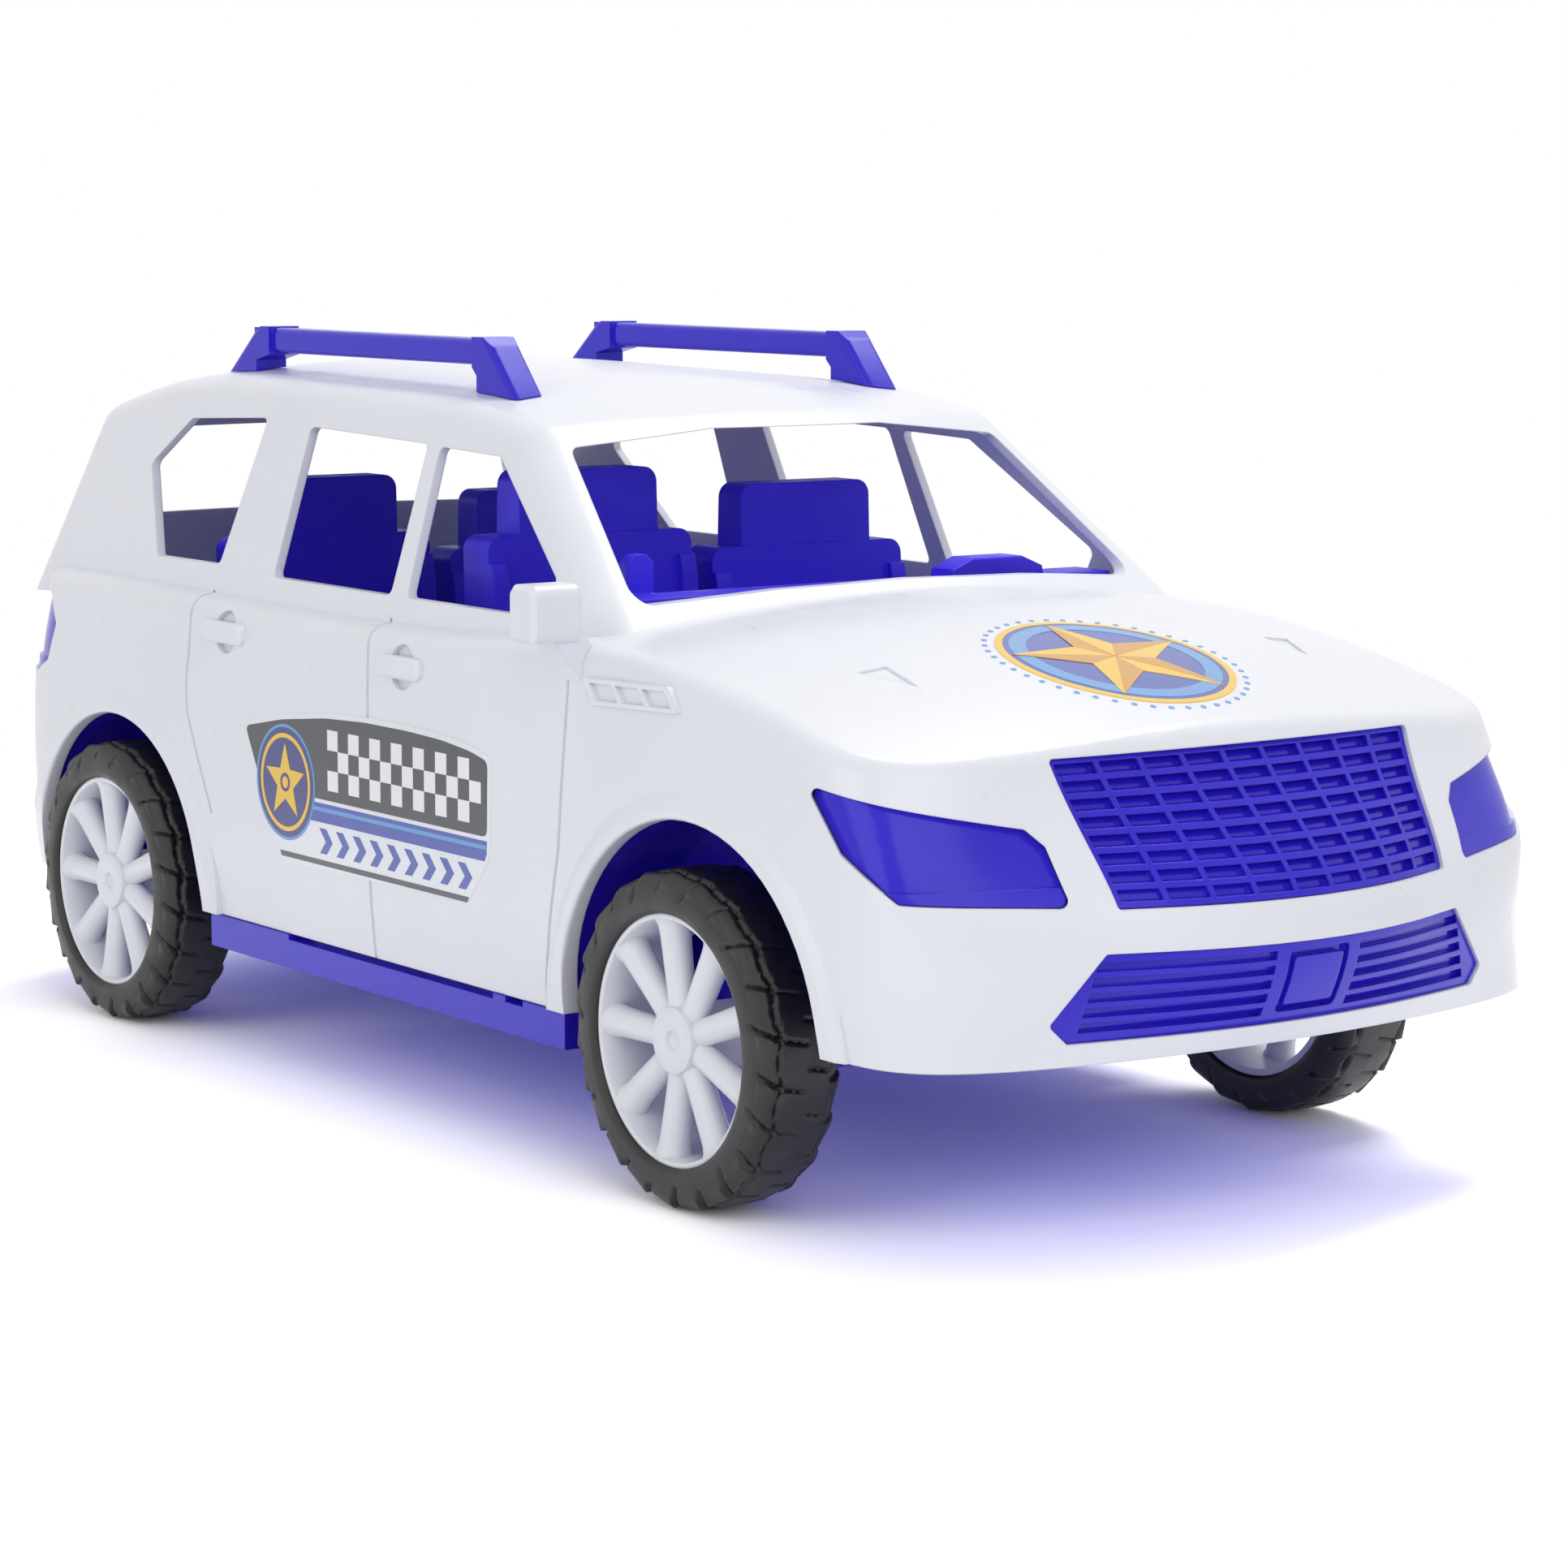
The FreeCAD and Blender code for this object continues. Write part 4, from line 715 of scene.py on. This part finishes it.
make_side_label("side_label_right", -1)
make_side_label("side_label_left", 1)
make_hood_badge()


# Stage: floor, light and the photograph's camera

def background_rays(tree):
    """One for rays that see the background straight, in a gloss or through something clear."""
    seen = tree.nodes.new("ShaderNodeLightPath")
    first = tree.nodes.new("ShaderNodeMath")
    first.operation = "MAXIMUM"
    second = tree.nodes.new("ShaderNodeMath")
    second.operation = "MAXIMUM"
    tree.links.new(seen.outputs["Is Camera Ray"], first.inputs[0])
    tree.links.new(seen.outputs["Is Glossy Ray"], first.inputs[1])
    tree.links.new(first.outputs["Value"], second.inputs[0])
    tree.links.new(seen.outputs["Is Transmission Ray"], second.inputs[1])
    return second.outputs["Value"]


FLOOR_SIZE = 8
FLOOR_DROP = 0.0002
FADE_START = 0.26
FADE_END = 0.55
FILL_STRENGTH = 0.5


def make_floor():
    """A pale floor that keeps the shadow near the toy and is plain white further out."""
    bpy.ops.mesh.primitive_plane_add(size=FLOOR_SIZE, location=(0, 0, -FLOOR_DROP))
    floor = bpy.context.object
    floor.name = "floor"
    material, tree, shader = new_material("floor_white")
    shader.inputs["Base Color"].default_value = (0.93, 0.93, 0.94, 1)
    shader.inputs["Roughness"].default_value = 0.75
    shader.inputs["Specular IOR Level"].default_value = 0.2

    def added(first, second):
        total = tree.nodes.new("ShaderNodeAddShader")
        tree.links.new(first, total.inputs[0])
        tree.links.new(second, total.inputs[1])
        return total.outputs["Shader"]

    def diffuse(colour):
        paper = tree.nodes.new("ShaderNodeBsdfDiffuse")
        paper.inputs["Color"].default_value = colour
        return paper.outputs["BSDF"]

    def glow(colour, strength):
        light = tree.nodes.new("ShaderNodeEmission")
        light.inputs["Color"].default_value = colour
        light.inputs["Strength"].default_value = strength
        return light.outputs["Emission"]

    def mixed(factor, first, second):
        mix = tree.nodes.new("ShaderNodeMixShader")
        tree.links.new(factor, mix.inputs["Fac"])
        tree.links.new(first, mix.inputs[1])
        tree.links.new(second, mix.inputs[2])
        return mix.outputs["Shader"]

    near = added(diffuse((0.96, 0.96, 0.97, 1)), diffuse((0.88, 0.87, 0.90, 1)))
    place = tree.nodes.new("ShaderNodeTexCoord")
    distance = tree.nodes.new("ShaderNodeVectorMath")
    distance.operation = "LENGTH"
    tree.links.new(place.outputs["Object"], distance.inputs[0])
    fade = tree.nodes.new("ShaderNodeMapRange")
    fade.interpolation_type = "SMOOTHSTEP"
    fade.inputs["From Min"].default_value = FADE_START
    fade.inputs["From Max"].default_value = FADE_END
    tree.links.new(distance.outputs["Value"], fade.inputs["Value"])
    seen = mixed(fade.outputs["Result"], near, glow((1, 1, 1, 1), 1.0))
    output = next(node for node in tree.nodes if node.type == "OUTPUT_MATERIAL")
    surface = mixed(background_rays(tree), shader.outputs["BSDF"], seen)
    tree.links.new(surface, output.inputs["Surface"])
    paint(floor, material)


def make_world():
    """White to the camera and to reflections, and a soft even fill to everything else."""
    world = bpy.data.worlds.new("studio")
    bpy.context.scene.world = world
    world.use_nodes = True
    tree = world.node_tree
    backdrop = tree.nodes["Background"]
    backdrop.inputs["Color"].default_value = (1, 1, 1, 1)
    level = tree.nodes.new("ShaderNodeMapRange")
    level.inputs["To Min"].default_value = FILL_STRENGTH
    level.inputs["To Max"].default_value = 1.0
    tree.links.new(background_rays(tree), level.inputs["Value"])
    tree.links.new(level.outputs["Result"], backdrop.inputs["Strength"])


def make_lamp(name, spot, width, power, target=(0, 0, 0.05)):
    """A square soft box that faces the toy."""
    light = bpy.data.lights.new(name, "AREA")
    light.shape = "SQUARE"
    light.size = width
    light.energy = power
    lamp = bpy.data.objects.new(name, light)
    lamp.location = spot
    lamp.rotation_euler = (Vector(target) - Vector(spot)).to_track_quat("-Z", "Y").to_euler()
    bpy.context.scene.collection.objects.link(lamp)


CAMERA_AZIMUTH = math.radians(53.604)
CAMERA_HEIGHT = math.radians(7.916)
CAMERA_ROLL = math.radians(-0.237)
CAMERA_DISTANCE = 0.820
CAMERA_AIM = Vector((0.02312, 0.00319, 0.06033))
SENSOR = 36.0
IMAGE_SIDE = 1932
FOCAL_PIXELS = 5102


def make_camera():
    """The photograph's viewpoint."""
    back = Vector((math.sin(CAMERA_AZIMUTH) * math.cos(CAMERA_HEIGHT),
                   -math.cos(CAMERA_AZIMUTH) * math.cos(CAMERA_HEIGHT), math.sin(CAMERA_HEIGHT)))
    right = Vector((math.cos(CAMERA_AZIMUTH), math.sin(CAMERA_AZIMUTH), 0))
    up = back.cross(right)
    turn = Matrix((right, up, back)).transposed() @ Matrix.Rotation(-CAMERA_ROLL, 3, "Z")
    data = bpy.data.cameras.new("photo_camera")
    data.sensor_width = SENSOR
    data.lens = SENSOR * FOCAL_PIXELS / IMAGE_SIDE
    camera = bpy.data.objects.new("photo_camera", data)
    camera.matrix_world = Matrix.Translation(CAMERA_AIM + back * CAMERA_DISTANCE) @ turn.to_4x4()
    bpy.context.scene.collection.objects.link(camera)
    bpy.context.scene.camera = camera


make_floor()
make_world()
make_lamp("key_behind", (-0.12, 0.44, 1.05), 0.55, 5.2)
make_lamp("front_fill", (1.1, -0.35, 0.7), 0.9, 3.4)
make_lamp("side_fill", (0.1, -1.3, 0.6), 0.9, 3.0)
make_camera()
bpy.context.scene.view_settings.view_transform = "Standard"
